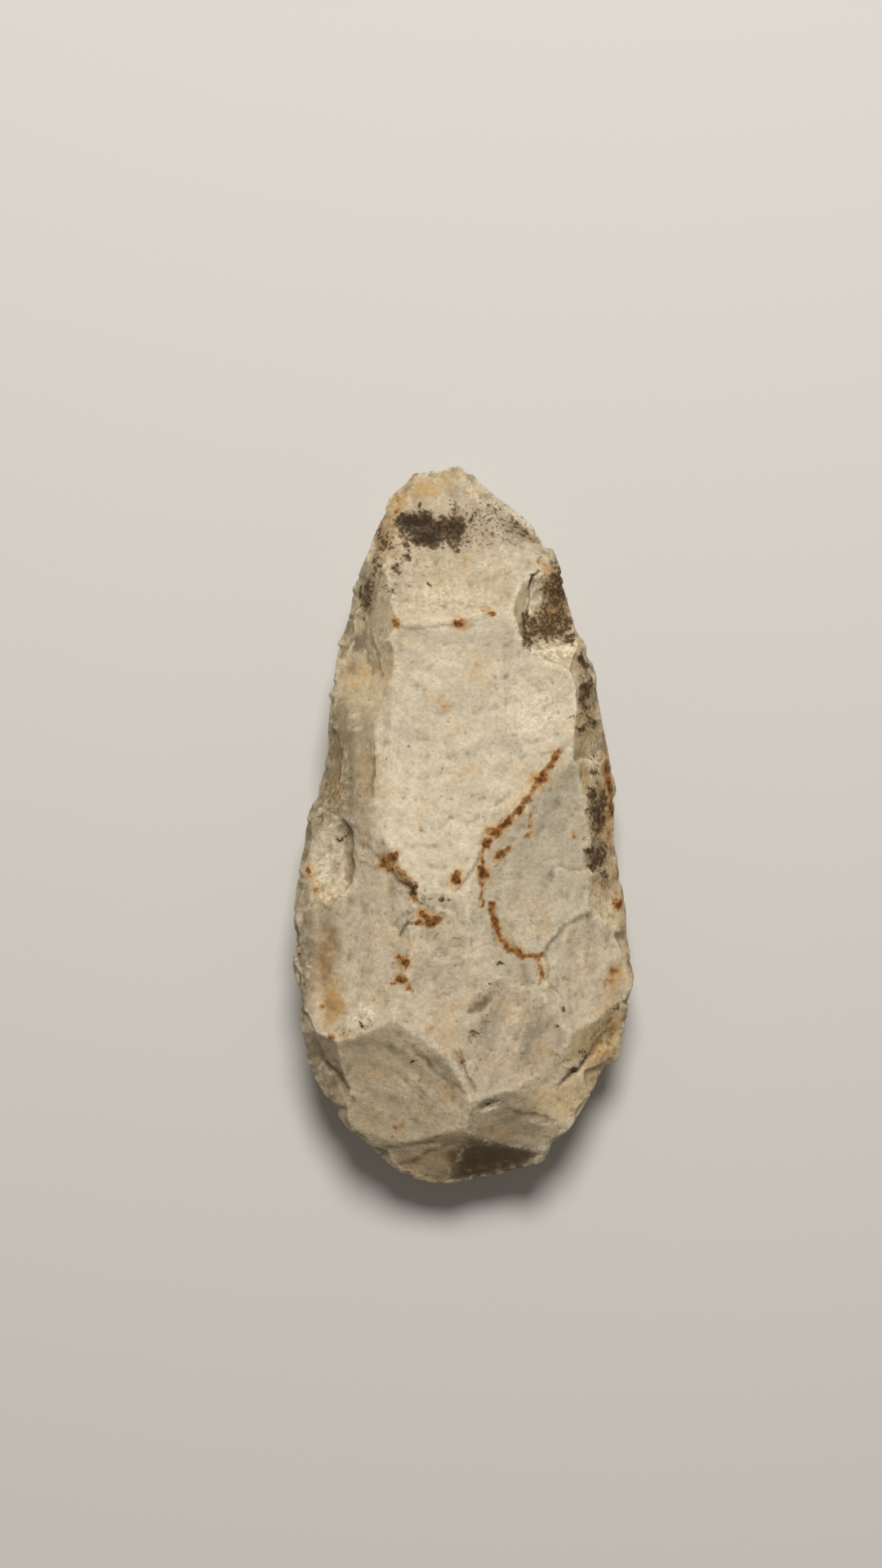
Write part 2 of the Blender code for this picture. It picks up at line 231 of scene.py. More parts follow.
    "grooves": (
        (((410, 1006), (423, 1010), (429, 1026), (429, 1048), (425, 1070), (418, 1088)), 0.34, 0.75),
        (((398, 1294), (416, 1312), (427, 1336)), 0.34, 0.70),
        (((684, 1322), (704, 1303), (722, 1286), (736, 1264)), 0.26, 0.60),
        (((499, 1078), (507, 1088), (508, 1098)), 0.24, 0.50),
        (((649, 714), (645, 726), (641, 762), (642, 790)), 0.25, 0.50),
        (((450, 705), (449, 730), (446, 758)), 0.28, 0.80),
        (((447, 772), (452, 800), (457, 826)), 0.22, 0.50),
        (((500, 1126), (494, 1134), (490, 1142)), 0.18, 0.35),
        (((588, 1349), (600, 1344), (612, 1343)), 0.22, 0.50),
    ),
    # the ridges that are worn round
    "wornRidges": (
        (470, 915, 40, 92, 0, 1.2), (440, 862, 46, 20, 0, 0.9), (448, 800, 20, 60, 0, 0.3),
        (560, 1240, 90, 14, 35, 0.3),
        (700, 1080, 50, 40, 0, 0.3),
    ),
    # the places where the surface is broken and crumbly
    "crumbly": (
        (410, 972, 26, 26, 0, 1.0), (428, 1252, 34, 12, 25, 0.9), (675, 745, 30, 56, 0, 1.1),
        (716, 850, 14, 60, 0, 0.9), (732, 1000, 16, 70, 0, 0.9), (400, 1000, 20, 14, 0, 0.7),
        (372, 1190, 14, 46, 0, 0.8), (404, 1098, 24, 18, 0, 0.7), (500, 1185, 16, 30, 0, 0.5),
        (520, 1110, 40, 34, 0, 0.9), (500, 1180, 24, 40, 0, 0.6), (612, 1060, 24, 40, 0, 0.5),
        (700, 1300, 40, 14, 45, 0.6), (490, 690, 50, 34, 0, 0.4),
        (540, 655, 50, 24, 0, 0.4), (745, 1270, 16, 40, 0, 0.6), (440, 1345, 30, 16, -40, 0.4),
        (455, 1035, 20, 26, 0, 0.5), (645, 660, 26, 20, -40, 0.6), (600, 1040, 30, 30, 0, 0.3),
        (765, 1200, 10, 60, 0, 0.5), (560, 1185, 70, 60, 0, 0.45),
        (648, 745, 12, 46, 0, 0.8), (640, 1130, 26, 22, 0, 0.4), (620, 1250, 50, 70, 0, 0.25),
    ),
    "rust": (
        (487, 766, 6, 7, 0, 0.85), (485, 758, 3, 4, 0, 0.5), (561, 766, 7, 5, 0, 1.15),
        (562, 767, 12, 8, 0, 0.5), (592, 751, 5, 3, -20, 0.85), (600, 755, 5, 4, -10, 0.85),
        (547, 866, 6, 4, 30, 0.5), (677, 926, 5, 8, -35, 1.0), (671, 936, 4, 7, -30, 0.9),
        (660, 955, 8, 8, 0, 1.25), (662, 948, 5, 6, 0, 1.0), (650, 969, 4, 4, 0, 0.75),
        (643, 979, 6, 5, 45, 0.9), (633, 991, 8, 5, 45, 1.1), (619, 1003, 8, 6, 48, 1.2),
        (612, 1010, 7, 6, 45, 1.1), (604, 1018, 8, 7, 30, 1.2), (594, 1030, 7, 8, 0, 1.15),
        (597, 1014, 5, 4, 0, 0.7), (589, 1050, 4, 6, 30, 0.9), (587, 1059, 5, 5, 0, 1.1),
        (591, 1066, 7, 8, 0, 1.25), (590, 1078, 3, 6, 0, 0.7), (612, 1043, 7, 5, 10, 1.05),
        (622, 1037, 5, 4, 40, 0.85), (608, 1047, 4, 4, 0, 0.9), (645, 1021, 5, 5, 30, 0.85),
        (558, 1073, 7, 8, 0, 1.2), (556, 1066, 6, 3, 20, 0.8), (478, 1052, 11, 10, 0, 0.62),
        (472, 1048, 5, 7, 20, 0.95), (480, 1061, 8, 3, 10, 0.9),
        (484, 1045, 7, 6, 0, 0.95), (471, 1056, 5, 4, 0, 0.9), (492, 1064, 9, 5, -35, 0.62),
        (500, 1073, 10, 6, -40, 0.55), (507, 1086, 5, 8, 15, 0.8), (509, 1096, 4, 5, 0, 0.7),
        (518, 1116, 7, 6, 0, 1.2), (527, 1124, 8, 7, 0, 1.25), (535, 1119, 5, 6, 0, 1.1),
        (512, 1125, 6, 3, 0, 0.9), (497, 1171, 6, 7, 0, 1.15), (490, 1167, 5, 4, 0, 0.8),
        (499, 1179, 3, 6, 0, 0.7), (493, 1193, 8, 5, 5, 1.1), (485, 1197, 5, 3, 20, 0.8),
        (501, 1201, 4, 5, -40, 0.75), (757, 1106, 7, 7, 0, 1.2), (742, 940, 5, 14, 8, 0.95),
        (746, 962, 5, 14, 5, 1.05), (748, 990, 5, 15, 0, 1.0), (736, 1004, 4, 14, 0, 0.7),
        (744, 1022, 4, 12, 0, 0.6), (379, 1064, 4, 6, 0, 0.8), (384, 1074, 3, 6, 20, 0.5),
        (389, 1089, 6, 4, -40, 0.75), (411, 1098, 5, 3, 0, 0.5), (408, 1263, 7, 4, 10, 0.7),
        (424, 1258, 5, 3, 30, 0.65), (396, 1228, 6, 4, 0, 0.55), (486, 628, 4, 4, 0, 0.75),
        (485, 612, 5, 5, 0, 0.45), (500, 944, 3, 5, 0, 0.6), (752, 1188, 12, 7, 35, 0.62),
        (743, 1200, 8, 5, 35, 0.5), (662, 1188, 3, 7, 5, 0.75), (700, 1021, 3, 5, 0, 0.6),
        (492, 1372, 8, 4, 30, 0.45), (486, 1376, 4, 3, 0, 0.6), (676, 1285, 4, 6, 0, 0.4),
        (590, 1288, 4, 3, 0, 0.5), (668, 700, 4, 12, 0, 0.4), (676, 720, 5, 9, 0, 0.5),
        (684, 738, 5, 10, 0, 0.55), (672, 750, 6, 8, 0, 0.5), (660, 688, 4, 8, 0, 0.5),
        (432, 1098, 4, 3, 0, 0.4), (528, 1250, 4, 5, 0, 0.5), (655, 1330, 12, 5, 20, 0.3),
        (740, 1084, 4, 8, 0, 0.55), (432, 1048, 3, 6, 0, 0.6),
    ),
    "manganese": (
        (682, 722, 13, 36, 0, 0.78), (668, 766, 27, 22, 0, 0.74), (600, 640, 50, 36, 0, 0.36),
        (500, 690, 44, 30, 0, 0.20), (716, 850, 12, 56, 0, 0.45), (728, 995, 12, 40, 0, 0.45),
        (526, 648, 40, 14, 0, 1.05), (524, 664, 20, 9, 0, 1.15), (556, 648, 17, 13, 0, 1.22),
        (510, 641, 24, 10, 0, 1.6), (524, 660, 20, 12, 0, 1.35),
        (494, 642, 11, 7, 5, 0.85), (512, 641, 15, 9, 0, 1.05), (520, 632, 9, 8, 0, 0.95),
        (535, 645, 16, 9, 0, 1.05), (528, 656, 14, 6, 0, 0.7), (522, 664, 13, 7, 0, 1.0),
        (553, 645, 16, 10, 0, 1.0), (555, 661, 10, 13, 0, 0.95), (556, 673, 6, 6, 0, 0.85),
        (567, 652, 8, 8, 0, 0.8), (569, 666, 8, 5, 40, 0.62), (575, 668, 5, 8, 20, 0.55),
        (494, 658, 5, 14, 5, 0.75), (496, 668, 6, 8, 0, 0.8), (500, 684, 5, 7, 0, 0.8),
        (485, 697, 5, 7, -30, 0.8), (489, 703, 5, 4, 0, 0.85), (482, 670, 5, 6, 0, 0.6),
        (482, 660, 4, 10, 0, 0.45), (470, 666, 7, 12, 0, 0.72), (466, 655, 5, 12, 0, 0.6),
        (462, 692, 4, 12, 10, 0.72), (458, 706, 4, 6, 10, 0.6), (452, 722, 5, 12, 0, 0.85),
        (451, 740, 6, 12, 0, 0.8), (443, 732, 4, 12, 0, 0.7), (445, 755, 5, 9, 0, 0.5),
        (480, 727, 6, 3, 0, 0.72), (502, 721, 6, 3, 5, 0.6), (526, 720, 4, 3, -20, 0.7),
        (470, 721, 5, 3, 0, 0.5), (512, 692, 4, 3, 0, 0.6), (516, 706, 4, 3, 0, 0.45),
        (552, 615, 5, 4, 60, 0.55), (560, 620, 4, 6, 0, 0.6), (556, 630, 4, 6, 0, 0.75),
        (584, 630, 5, 3, 40, 0.8), (579, 636, 5, 3, 0, 0.8), (571, 608, 4, 3, 0, 0.5),
        (575, 640, 3, 4, 0, 0.5), (604, 638, 3, 3, 0, 0.55), (590, 658, 6, 3, 0, 0.5),
        (512, 622, 4, 4, 0, 0.65), (630, 642, 9, 6, -30, 0.6), (640, 652, 8, 6, -40, 0.65),
        (650, 662, 9, 4, -30, 0.55), (622, 655, 6, 5, 0, 0.5), (655, 704, 7, 2.6, 28, 0.85),
        (648, 713, 2.6, 8, -12, 0.85), (641, 760, 3, 14, 0, 0.8), (643, 785, 5, 13, 0, 0.95),
        (652, 764, 8, 10, 0, 0.85), (650, 777, 8, 6, 0, 0.85), (668, 722, 6, 12, 0, 0.6),
        (680, 716, 5, 14, 0, 0.55), (672, 745, 10, 8, 0, 0.65), (684, 755, 6, 10, 0, 0.8),
        (665, 768, 9, 8, 0, 0.8), (692, 765, 7, 12, 0, 0.9), (698, 785, 8, 6, 0, 0.9),
        (682, 778, 9, 6, 0, 0.75), (710, 808, 5, 9, 0, 1.1), (714, 816, 4, 4, 0, 0.9),
        (722, 832, 5, 8, 0, 0.7), (714, 846, 8, 10, 0, 0.95), (710, 858, 6, 7, 0, 0.9),
        (718, 840, 6, 6, 0, 0.85), (708, 893, 7, 5, 0, 0.75), (714, 866, 7, 6, 0, 0.7),
        (721, 882, 6, 5, 20, 0.75), (725, 890, 4, 4, 0, 0.6), (700, 878, 5, 3, 0, 0.5),
        (706, 903, 4, 3, 0, 0.6), (726, 925, 4, 4, 0, 0.7), (726, 946, 5, 5, 0, 0.8),
        (722, 972, 6, 8, 0, 0.85), (737, 972, 5, 6, 0, 0.85), (728, 992, 11, 8, 0, 0.9),
        (736, 985, 6, 8, 0, 0.9), (732, 1004, 10, 8, 0, 0.85), (730, 1016, 9, 5, 0, 0.7),
        (722, 1042, 9, 8, 0, 0.9), (732, 1050, 10, 9, 0, 0.95), (724, 1058, 9, 6, 0, 0.9),
        (738, 1038, 7, 8, 0, 0.7), (737, 1070, 5, 7, 10, 0.8), (736, 1080, 5, 5, 0, 0.6),
        (417, 1027, 5, 4, 0, 0.85), (424, 1018, 4, 5, 0, 0.5), (540, 1094, 3, 5, -30, 0.95),
        (546, 1099, 4, 3, 0, 0.7), (521, 1095, 5, 2.6, 20, 0.6), (590, 1024, 4, 8, 20, 0.4),
        (611, 1173, 5, 3.5, 0, 0.95), (598, 1199, 4, 2.6, 0, 0.7), (580, 1257, 6, 2.6, 5, 0.85),
        (575, 1268, 4, 3, -20, 0.6), (680, 1250, 5, 4, 0, 0.9), (686, 1230, 3, 4, 0, 0.5),
        (711, 1284, 6, 4, 0, 0.85), (716, 1292, 6, 3, 40, 0.85), (702, 1304, 6, 3, 40, 0.9),
        (446, 1249, 4, 3.5, 0, 1.0), (505, 1292, 4, 2.6, 0, 0.85), (527, 1297, 5, 2.6, -30, 0.65),
        (594, 1344, 8, 2.6, 25, 0.6), (566, 1292, 3, 6, -20, 0.75), (506, 1086, 2.6, 8, -20, 0.9),
        (752, 1232, 4, 6, 0, 0.6), (392, 1000, 4, 4, 0, 0.5), (398, 962, 4, 8, 0, 0.4),
        (374, 1200, 3, 12, 0, 0.5), (368, 1160, 3, 12, 0, 0.45), (640, 1050, 4, 3, 0, 0.3),
    ),
    "ochre": (
        (472, 640, 14, 22, -30, 0.75), (545, 596, 22, 10, 0, 0.6), (655, 655, 16, 26, 40, 0.35),
        (515, 600, 24, 16, 15, 0.95), (520, 590, 26, 8, 0, 0.8), (488, 616, 14, 14, 0, 0.85),
        (552, 583, 20, 8, 0, 0.85), (575, 586, 10, 8, 0, 0.5), (571, 690, 5, 13, 25, 0.75),
        (576, 700, 6, 5, 0, 0.6), (532, 860, 18, 10, -10, 0.65), (546, 864, 10, 8, 0, 0.7),
        (674, 706, 13, 26, 0, 0.95), (684, 740, 15, 34, 0, 0.95), (676, 770, 22, 18, 0, 0.7),
        (708, 850, 16, 60, 0, 0.3), (444, 822, 26, 12, 0, 0.7),
        (430, 838, 24, 9, 0, 0.6), (430, 760, 14, 30, 0, 0.35), (415, 930, 16, 34, 0, 0.5),
        (410, 960, 16, 24, 0, 0.55), (736, 1088, 16, 20, 0, 0.75), (750, 1082, 10, 14, 0, 0.6),
        (746, 960, 11, 66, 0, 1.2), (400, 1098, 20, 14, 0, 0.6), (410, 1218, 14, 36, 0, 1.1),
        (404, 1240, 10, 22, 0, 0.8), (400, 1170, 16, 44, 0, 0.85), (420, 1264, 22, 8, 15, 0.85),
        (755, 1195, 22, 16, 35, 0.9), (742, 1225, 18, 26, 0, 0.6), (700, 1335, 46, 24, 38, 0.55),
        (665, 1340, 26, 14, 5, 0.60), (735, 1285, 20, 30, 10, 0.9), (750, 1255, 14, 20, 0, 0.8),
        (636, 1345, 20, 10, 10, 0.5), (620, 1292, 26, 20, 0, 0.4), (492, 1066, 20, 12, -30, 0.6),
        (602, 1012, 16, 16, 0, 0.5), (600, 1040, 22, 30, 0, 0.35), (655, 960, 14, 34, -40, 0.35),
        (625, 1152, 26, 12, -30, 0.55), (520, 1122, 22, 16, 0, 0.5), (560, 950, 60, 60, 0, 0.24),
        (460, 950, 20, 50, 0, 0.22), (550, 1325, 16, 26, -30, 0.5), (620, 1385, 24, 12, 0, 0.3),
        (528, 1412, 22, 16, 0, 0.4), (555, 1420, 10, 18, 0, 0.5), (560, 1258, 20, 10, 0, 0.35),
        (528, 1250, 8, 8, 0, 0.7), (494, 1182, 12, 26, 0, 0.45), (662, 1280, 8, 12, 0, 0.6),
        (728, 1000, 16, 34, 0, 0.6), (705, 1020, 14, 14, 0, 0.35), (430, 1100, 10, 10, 0, 0.4),
        (390, 1075, 8, 24, 0, 0.5), (630, 690, 30, 24, 0, 0.20), (470, 1240, 20, 12, 0, 0.25),
        (660, 1180, 6, 20, 0, 0.4), (555, 1140, 30, 14, 0, 0.2), (450, 1020, 16, 20, 0, 0.3),
    ),
    # cooler grey and olive places
    "greyStain": (
        (586, 1223, 18, 6, 40, 1.15), (640, 1194, 10, 12, 0, 0.9), (612, 1206, 16, 8, 20, 0.55),
        (673, 1070, 5, 14, 0, 0.9), (609, 980, 8, 5, 0, 0.8), (594, 1001, 4, 3, 0, 0.6),
        (486, 1084, 11, 13, 0, 0.75), (441, 791, 12, 11, 0, 1.0), (455, 780, 6, 24, 15, 0.6),
        (428, 925, 7, 38, 0, 0.7), (460, 945, 2.6, 32, 0, 0.9), (476, 880, 8, 40, 0, 0.45),
        (619, 733, 4, 7, 0, 0.7), (625, 705, 4, 5, 0, 0.6), (615, 749, 4, 4, 0, 0.5),
        (515, 745, 5, 8, 0, 0.5), (575, 745, 5, 4, 0, 0.5), (686, 942, 24, 20, -40, 0.4),
        (680, 1000, 30, 50, 0, 0.25), (640, 1045, 20, 14, 0, 0.3), (540, 1300, 34, 9, -45, 0.75),
        (450, 1275, 40, 16, 10, 0.55), (480, 1290, 50, 26, -10, 0.35), (380, 1130, 12, 34, 0, 0.5),
        (398, 1150, 10, 50, 0, 0.4), (600, 1160, 60, 30, 0, 0.2), (630, 1185, 34, 20, 0, 0.5),
        (648, 1262, 9, 46, -22, 0.8), (600, 1240, 9, 46, -25, 0.75), (560, 1320, 14, 30, 40, 0.4),
        (680, 1150, 8, 16, 20, 0.55),
        (600, 1412, 48, 24, 0, 0.8), (466, 790, 8, 20, 0, 0.5), (488, 792, 10, 14, -30, 0.5),
        (622, 790, 9, 7, 0, 0.75), (628, 655, 24, 14, -40, 0.55), (466, 668, 12, 26, 0, 0.7),
        (452, 725, 12, 40, 12, 0.8), (434, 752, 10, 30, 0, 0.5), (520, 812, 7, 4, 0, 0.5),
        (563, 808, 4, 3, 0, 0.8), (580, 801, 4, 4, 0, 0.6), (675, 838, 5, 5, 0, 0.5),
        (621, 828, 3, 8, -15, 0.9), (540, 782, 90, 12, 0, 0.38), (660, 780, 30, 10, 0, 0.3),
        (706, 1184, 4, 5, -30, 0.5), (505, 935, 5, 5, 0, 0.5), (660, 1290, 16, 40, 30, 0.3),
        (700, 925, 14, 20, 0, 0.4), (560, 1150, 14, 20, -40, 0.4), (540, 1150, 8, 20, 40, 0.5),
        (480, 1215, 30, 16, 0, 0.3), (440, 1345, 20, 10, -30, 0.4), (405, 1320, 14, 22, 40, 0.5),
        (640, 1372, 40, 10, -12, 0.4), (545, 905, 4, 3, 0, 0.4), (527, 908, 6, 2.6, 0, 0.6),
        (610, 892, 8, 2.6, -15, 0.6), (550, 1002, 6, 2.6, 0, 0.6), (587, 976, 4, 4, 0, 0.7),
        (432, 1072, 5, 16, 0, 0.7), (422, 1012, 10, 10, -40, 0.7),
    ),
    # the palest places: where the skin is chalky, and painted light on some steep walls
    "chalkAndLight": (
        (540, 612, 20, 14, 0, 0.3), (578, 602, 24, 18, 20, 0.5), (628, 628, 34, 8, -42, 1.0),
        (500, 650, 4, 3, 0, 0.8),
        (655, 728, 8, 18, 8, 1.1), (645, 745, 6, 42, 0, 0.9), (680, 800, 28, 11, 2, 1.25),
        (402, 1048, 17, 44, 0, 0.9), (510, 1330, 52, 26, -20, 0.4),
        (622, 1252, 10, 46, -20, 0.6), (700, 1150, 20, 8, 30, 0.3), (650, 870, 44, 34, -25, 0.7),
        (480, 700, 14, 8, 0, 0.3), (610, 700, 40, 24, 0, 0.35), (545, 735, 60, 22, 0, 0.5),
        (560, 764, 8, 3, 0, 0.7), (530, 763, 22, 2.6, 0, 0.6), (446, 1040, 10, 20, -20, 0.7),
        (436, 1022, 4, 10, 0, 0.6), (408, 1094, 14, 10, 0, 0.9), (405, 1040, 14, 26, 0, 0.5),
        (364, 1186, 6, 14, -20, 1.2), (452, 1232, 8, 12, 20, 1.0), (440, 1244, 14, 5, 25, 0.7),
        (735, 1096, 22, 14, 0, 0.7), (744, 1116, 20, 5, 5, 0.7), (660, 1120, 6, 8, 30, 0.4),
        (505, 1132, 12, 4, 15, 0.9), (545, 1108, 12, 4, 10, 0.7), (530, 1160, 16, 10, -50, 0.5),
        (590, 1340, 30, 14, 0, 0.35), (640, 1345, 34, 6, -10, 0.5), (560, 1360, 60, 20, 0, 0.35),
        (640, 1140, 20, 16, 0, 0.4), (460, 1130, 30, 40, 0, 0.3), (560, 1395, 60, 4, 2, 0.5),
        (658, 1368, 8, 5, -20, 0.9), (664, 1410, 13, 24, -25, 0.8), (505, 1405, 36, 6, 4, 0.5),
        (720, 1110, 26, 6, 25, 0.6),
        (448, 815, 14, 8, 0, 0.3), (466, 790, 3, 24, -12, 0.7), (728, 870, 5, 50, 0, 0.6),
        (725, 928, 12, 30, 0, 0.8), (722, 864, 10, 16, 0, 0.5),
        (735, 830, 4, 30, 10, 0.5), (560, 1010, 60, 20, 10, 0.3), (668, 686, 16, 12, 0, 0.5),
        (560, 1300, 4, 30, 40, 0.5), (530, 1270, 30, 3, -42, 0.6), (700, 1370, 20, 6, 30, 0.5),
        (380, 1255, 6, 30, 0, 0.5), (400, 1352, 6, 30, 40, 0.4), (700, 930, 12, 8, 40, 0.3),
    ),
    "rustLines": (
        (((601, 1102), (601, 1116), (606, 1132), (612, 1146), (622, 1157), (638, 1164),
          (652, 1168), (660, 1164)), 4.2, 0.92),
        (((656, 1168), (660, 1180), (661, 1194)), 2.8, 0.6),
        (((648, 974), (649, 990), (646, 1012)), 2.2, 0.45),
        (((684, 918), (660, 955), (632, 990), (606, 1017), (591, 1034), (588, 1066)), 2.8, 0.6),
        (((588, 1070), (589, 1084), (588, 1104)), 2.4, 0.6),
        (((560, 1276), (568, 1294)), 2.2, 0.55),
        (((500, 1140), (508, 1160), (498, 1180)), 2.4, 0.3),
    ),
    # brown grime and painted shade: in the hollows of the edge and along the steps
    "grimeAndShadeSpots": (
        (370, 1150, 7, 44, 0, 0.9), (372, 1215, 7, 34, 0, 0.85), (380, 1105, 10, 26, 0, 0.35),
        (402, 1165, 20, 62, 0, 0.55), (418, 905, 14, 46, 0, 0.42), (408, 950, 14, 26, 0, 0.4),
        (424, 735, 12, 44, 12, 0.4), (680, 735, 16, 42, 0, 0.72), (668, 774, 28, 16, 0, 0.75),
        (712, 850, 10, 46, 0, 0.4), (730, 990, 12, 40, 0, 0.42), (726, 1046, 14, 18, 0, 0.6),
        (378, 1172, 15, 76, 0, 0.65), (410, 1225, 13, 34, 0, 0.35), (684, 732, 14, 50, 0, 0.9),
        (585, 1416, 44, 24, -4, 0.85), (428, 1030, 5, 22, 0, 0.7), (616, 1412, 24, 14, -22, 0.6),
        (532, 1420, 18, 18, 0, 0.2),
        (420, 1012, 12, 8, 25, 0.55), (427, 1050, 5, 34, 0, 0.6), (415, 1320, 8, 28, -38, 0.6),
        (441, 790, 11, 13, 0, 0.5), (742, 1252, 12, 20, 20, 0.35), (430, 1270, 36, 12, 25, 0.25),
        (500, 1086, 10, 10, 30, 0.4), (700, 1306, 24, 5, 42, 0.5), (732, 1262, 18, 6, 55, 0.4),
        (520, 628, 40, 8, 0, 0.3), (590, 640, 34, 24, 0, 0.2), (468, 668, 12, 30, 0, 0.45),
        (628, 648, 44, 10, -40, 0.38), (562, 640, 12, 20, 0, 0.4), (500, 628, 30, 6, 0, 0.35),
        (645, 655, 26, 12, -42, 0.35), (388, 1300, 12, 34, 38, 0.25), (740, 930, 8, 40, 0, 0.5),
        (560, 1225, 10, 4, 40, 0.2), (584, 1224, 17, 6, 42, 0.5), (460, 1300, 60, 34, 10, 0.16),
    ),
    # painted shadows along the steps and grooves
    "paintedShadowLines": (
        (((516, 1124), (502, 1125), (496, 1131), (491, 1139)), 2.2, 1.0),
        (((660, 701), (651, 707), (646, 718)), 2.4, 0.8),
        (((494, 1075), (504, 1080), (510, 1090), (510, 1100)), 2.4, 0.9),
        (((503, 1204), (510, 1212), (514, 1218)), 2.0, 0.6),
        (((688, 1320), (702, 1303), (716, 1288)), 3.2, 0.75),
        (((722, 1268), (734, 1256), (746, 1246)), 2.8, 0.65),
        (((447, 760), (452, 785), (458, 800), (462, 824)), 2.6, 0.45),
        (((396, 1292), (414, 1306), (427, 1326), (433, 1342)), 3.4, 0.75),
        (((560, 1274), (566, 1286), (570, 1302), (577, 1314)), 2.0, 0.55),
        (((506, 1270), (518, 1280), (530, 1296)), 2.4, 0.55),
        (((676, 1142), (665, 1158), (662, 1168)), 2.0, 0.5),
        (((433, 1040), (434, 1052), (430, 1064)), 2.6, 0.7),
        (((436, 1052), (452, 1055), (468, 1056)), 1.8, 0.4),
        (((400, 1282), (440, 1254), (456, 1246)), 2.2, 0.35),
        (((638, 756), (640, 780), (646, 798)), 3.0, 0.9),
        (((606, 838), (607, 852), (616, 860), (626, 854)), 1.6, 0.5),
        (((434, 800), (450, 802), (462, 800)), 1.8, 0.2),
        (((586, 1340), (602, 1334), (614, 1340)), 1.8, 0.4),
        (((460, 914), (459, 944), (459, 974)), 1.8, 0.5),
        (((405, 1240), (399, 1218), (398, 1190)), 2.6, 0.3),
        (((548, 1396), (580, 1389), (610, 1400), (646, 1414)), 2.2, 0.5),
    ),
}


def onAxe(px, py):
    scale = picture["mmPerPixel"]
    return (px - picture["middle"][0]) * scale, (picture["middle"][1] - py) * scale


def linear(hexColour):
    channels = [int(hexColour[i:i + 2], 16) / 255 for i in (1, 3, 5)]
    return tuple(c / 12.92 if c <= 0.04045 else ((c + 0.055) / 1.055) ** 2.4 for c in channels)


def smoothStep(low, high, value):
    share = np.clip((value - low) / (high - low), 0.0, 1.0)
    return share * share * (3 - 2 * share)


slopes = np.random.default_rng(7).normal(size=(4096, 3))
slopes = np.ascontiguousarray((slopes / np.linalg.norm(slopes, axis=1)[:, None]).T)


def lumps(points, size, octaves=3, seed=0):
    # soft lumps of about this size in mm, mostly between -1 and 1
    total = np.zeros(len(points))
    strength = 1.0
    at = np.ascontiguousarray((points / size + np.array([31.7, 17.3, 57.1]) * (seed + 1)).T)
    for _ in range(octaves):
        cell = np.floor(at).astype(np.int64)
        inside = at - cell
        fade = inside ** 3 * (inside * (inside * 6 - 15) + 10)
        for corner in range(8):
            key = np.zeros(len(points), dtype=np.int64)
            share = np.full(len(points), strength)
            for axis, factor in enumerate((73856093, 19349663, 83492791)):
                step = corner >> axis & 1
                key += (cell[axis] + step) * factor
                share *= fade[axis] if step else 1 - fade[axis]
            key = (key ^ key >> 13) * 1274126177
            key = (key ^ key >> 16) & 4095
            for axis in range(3):
                total += share * (inside[axis] - (corner >> axis & 1)) * slopes[axis][key]
        at = at * 2.03 + 11.3
        strength *= 0.55
    return 1.5 * total


def dishHeight(scar, face, x, y):
    width, length, thickness = knappedFlint["size"]
    across, along, height, facing, slope, radiusAlong, radiusAcross = scar[:7]
    turn = math.radians(facing)
    dx = x - across * width
    dy = y - along * length
    ahead = dx * math.cos(turn) + dy * math.sin(turn)
    aside = dy * math.cos(turn) - dx * math.sin(turn)
    fall = math.tan(math.radians(slope)) * thickness / width / 0.5
    rise = ahead ** 2 / (2 * radiusAlong * length) + aside ** 2 / (2 * radiusAcross * length)
    return height * thickness + face * (rise - ahead * fall)


def rippleHeight(scar, x, y, wobble):
    # rings round the point on the edge where the flake was struck off
    width, length, _ = knappedFlint["size"]
    turn = math.radians(scar[3])
    strikeX = scar[0] * width + math.cos(turn) * knappedFlint["rippleReach"]
    strikeY = scar[1] * length + math.sin(turn) * knappedFlint["rippleReach"]
    away = np.hypot(x - strikeX, y - strikeY) + wobble
    return np.sin(2 * math.pi * away / knappedFlint["rippleLength"])


def scarSurface(scars, face, x, y, wobble, wear):
    # the height of one face, the ripples there and the tint
    heights = np.stack([face * dishHeight(scar, face, x, y) for scar in scars])
    nearest = heights.min(axis=0)
    height = nearest - wear * np.log(np.exp(-(heights - nearest) / wear).sum(axis=0))
    share = np.exp(-(heights - nearest) / knappedFlint["tintBlend"])
    share /= share.sum(axis=0)
    ripples = sum(share[i] * rippleHeight(scar, x, y, wobble) for i, scar in enumerate(scars))
    tint = np.tensordot(share.T, np.array([linear(scar[7]) for scar in scars]), axes=1)
    return face * height, ripples, tint


def spotMask(spots, x, y, reach=1.35):
    value = np.zeros(len(x))
    for px, py, halfLength, halfWidth, turn, strength in spots:
        spotX, spotY = onAxe(px, py)
        angle = math.radians(turn)
        dx, dy = x - spotX, y - spotY
        ahead = (dx * math.cos(angle) + dy * math.sin(angle)) / (halfLength * picture["mmPerPixel"])
        aside = (dy * math.cos(angle) - dx * math.sin(angle)) / (halfWidth * picture["mmPerPixel"])
        away = np.hypot(ahead, aside)
        value = np.maximum(value, strength * (1.0 - smoothStep(0.3, reach, away)))
    return value


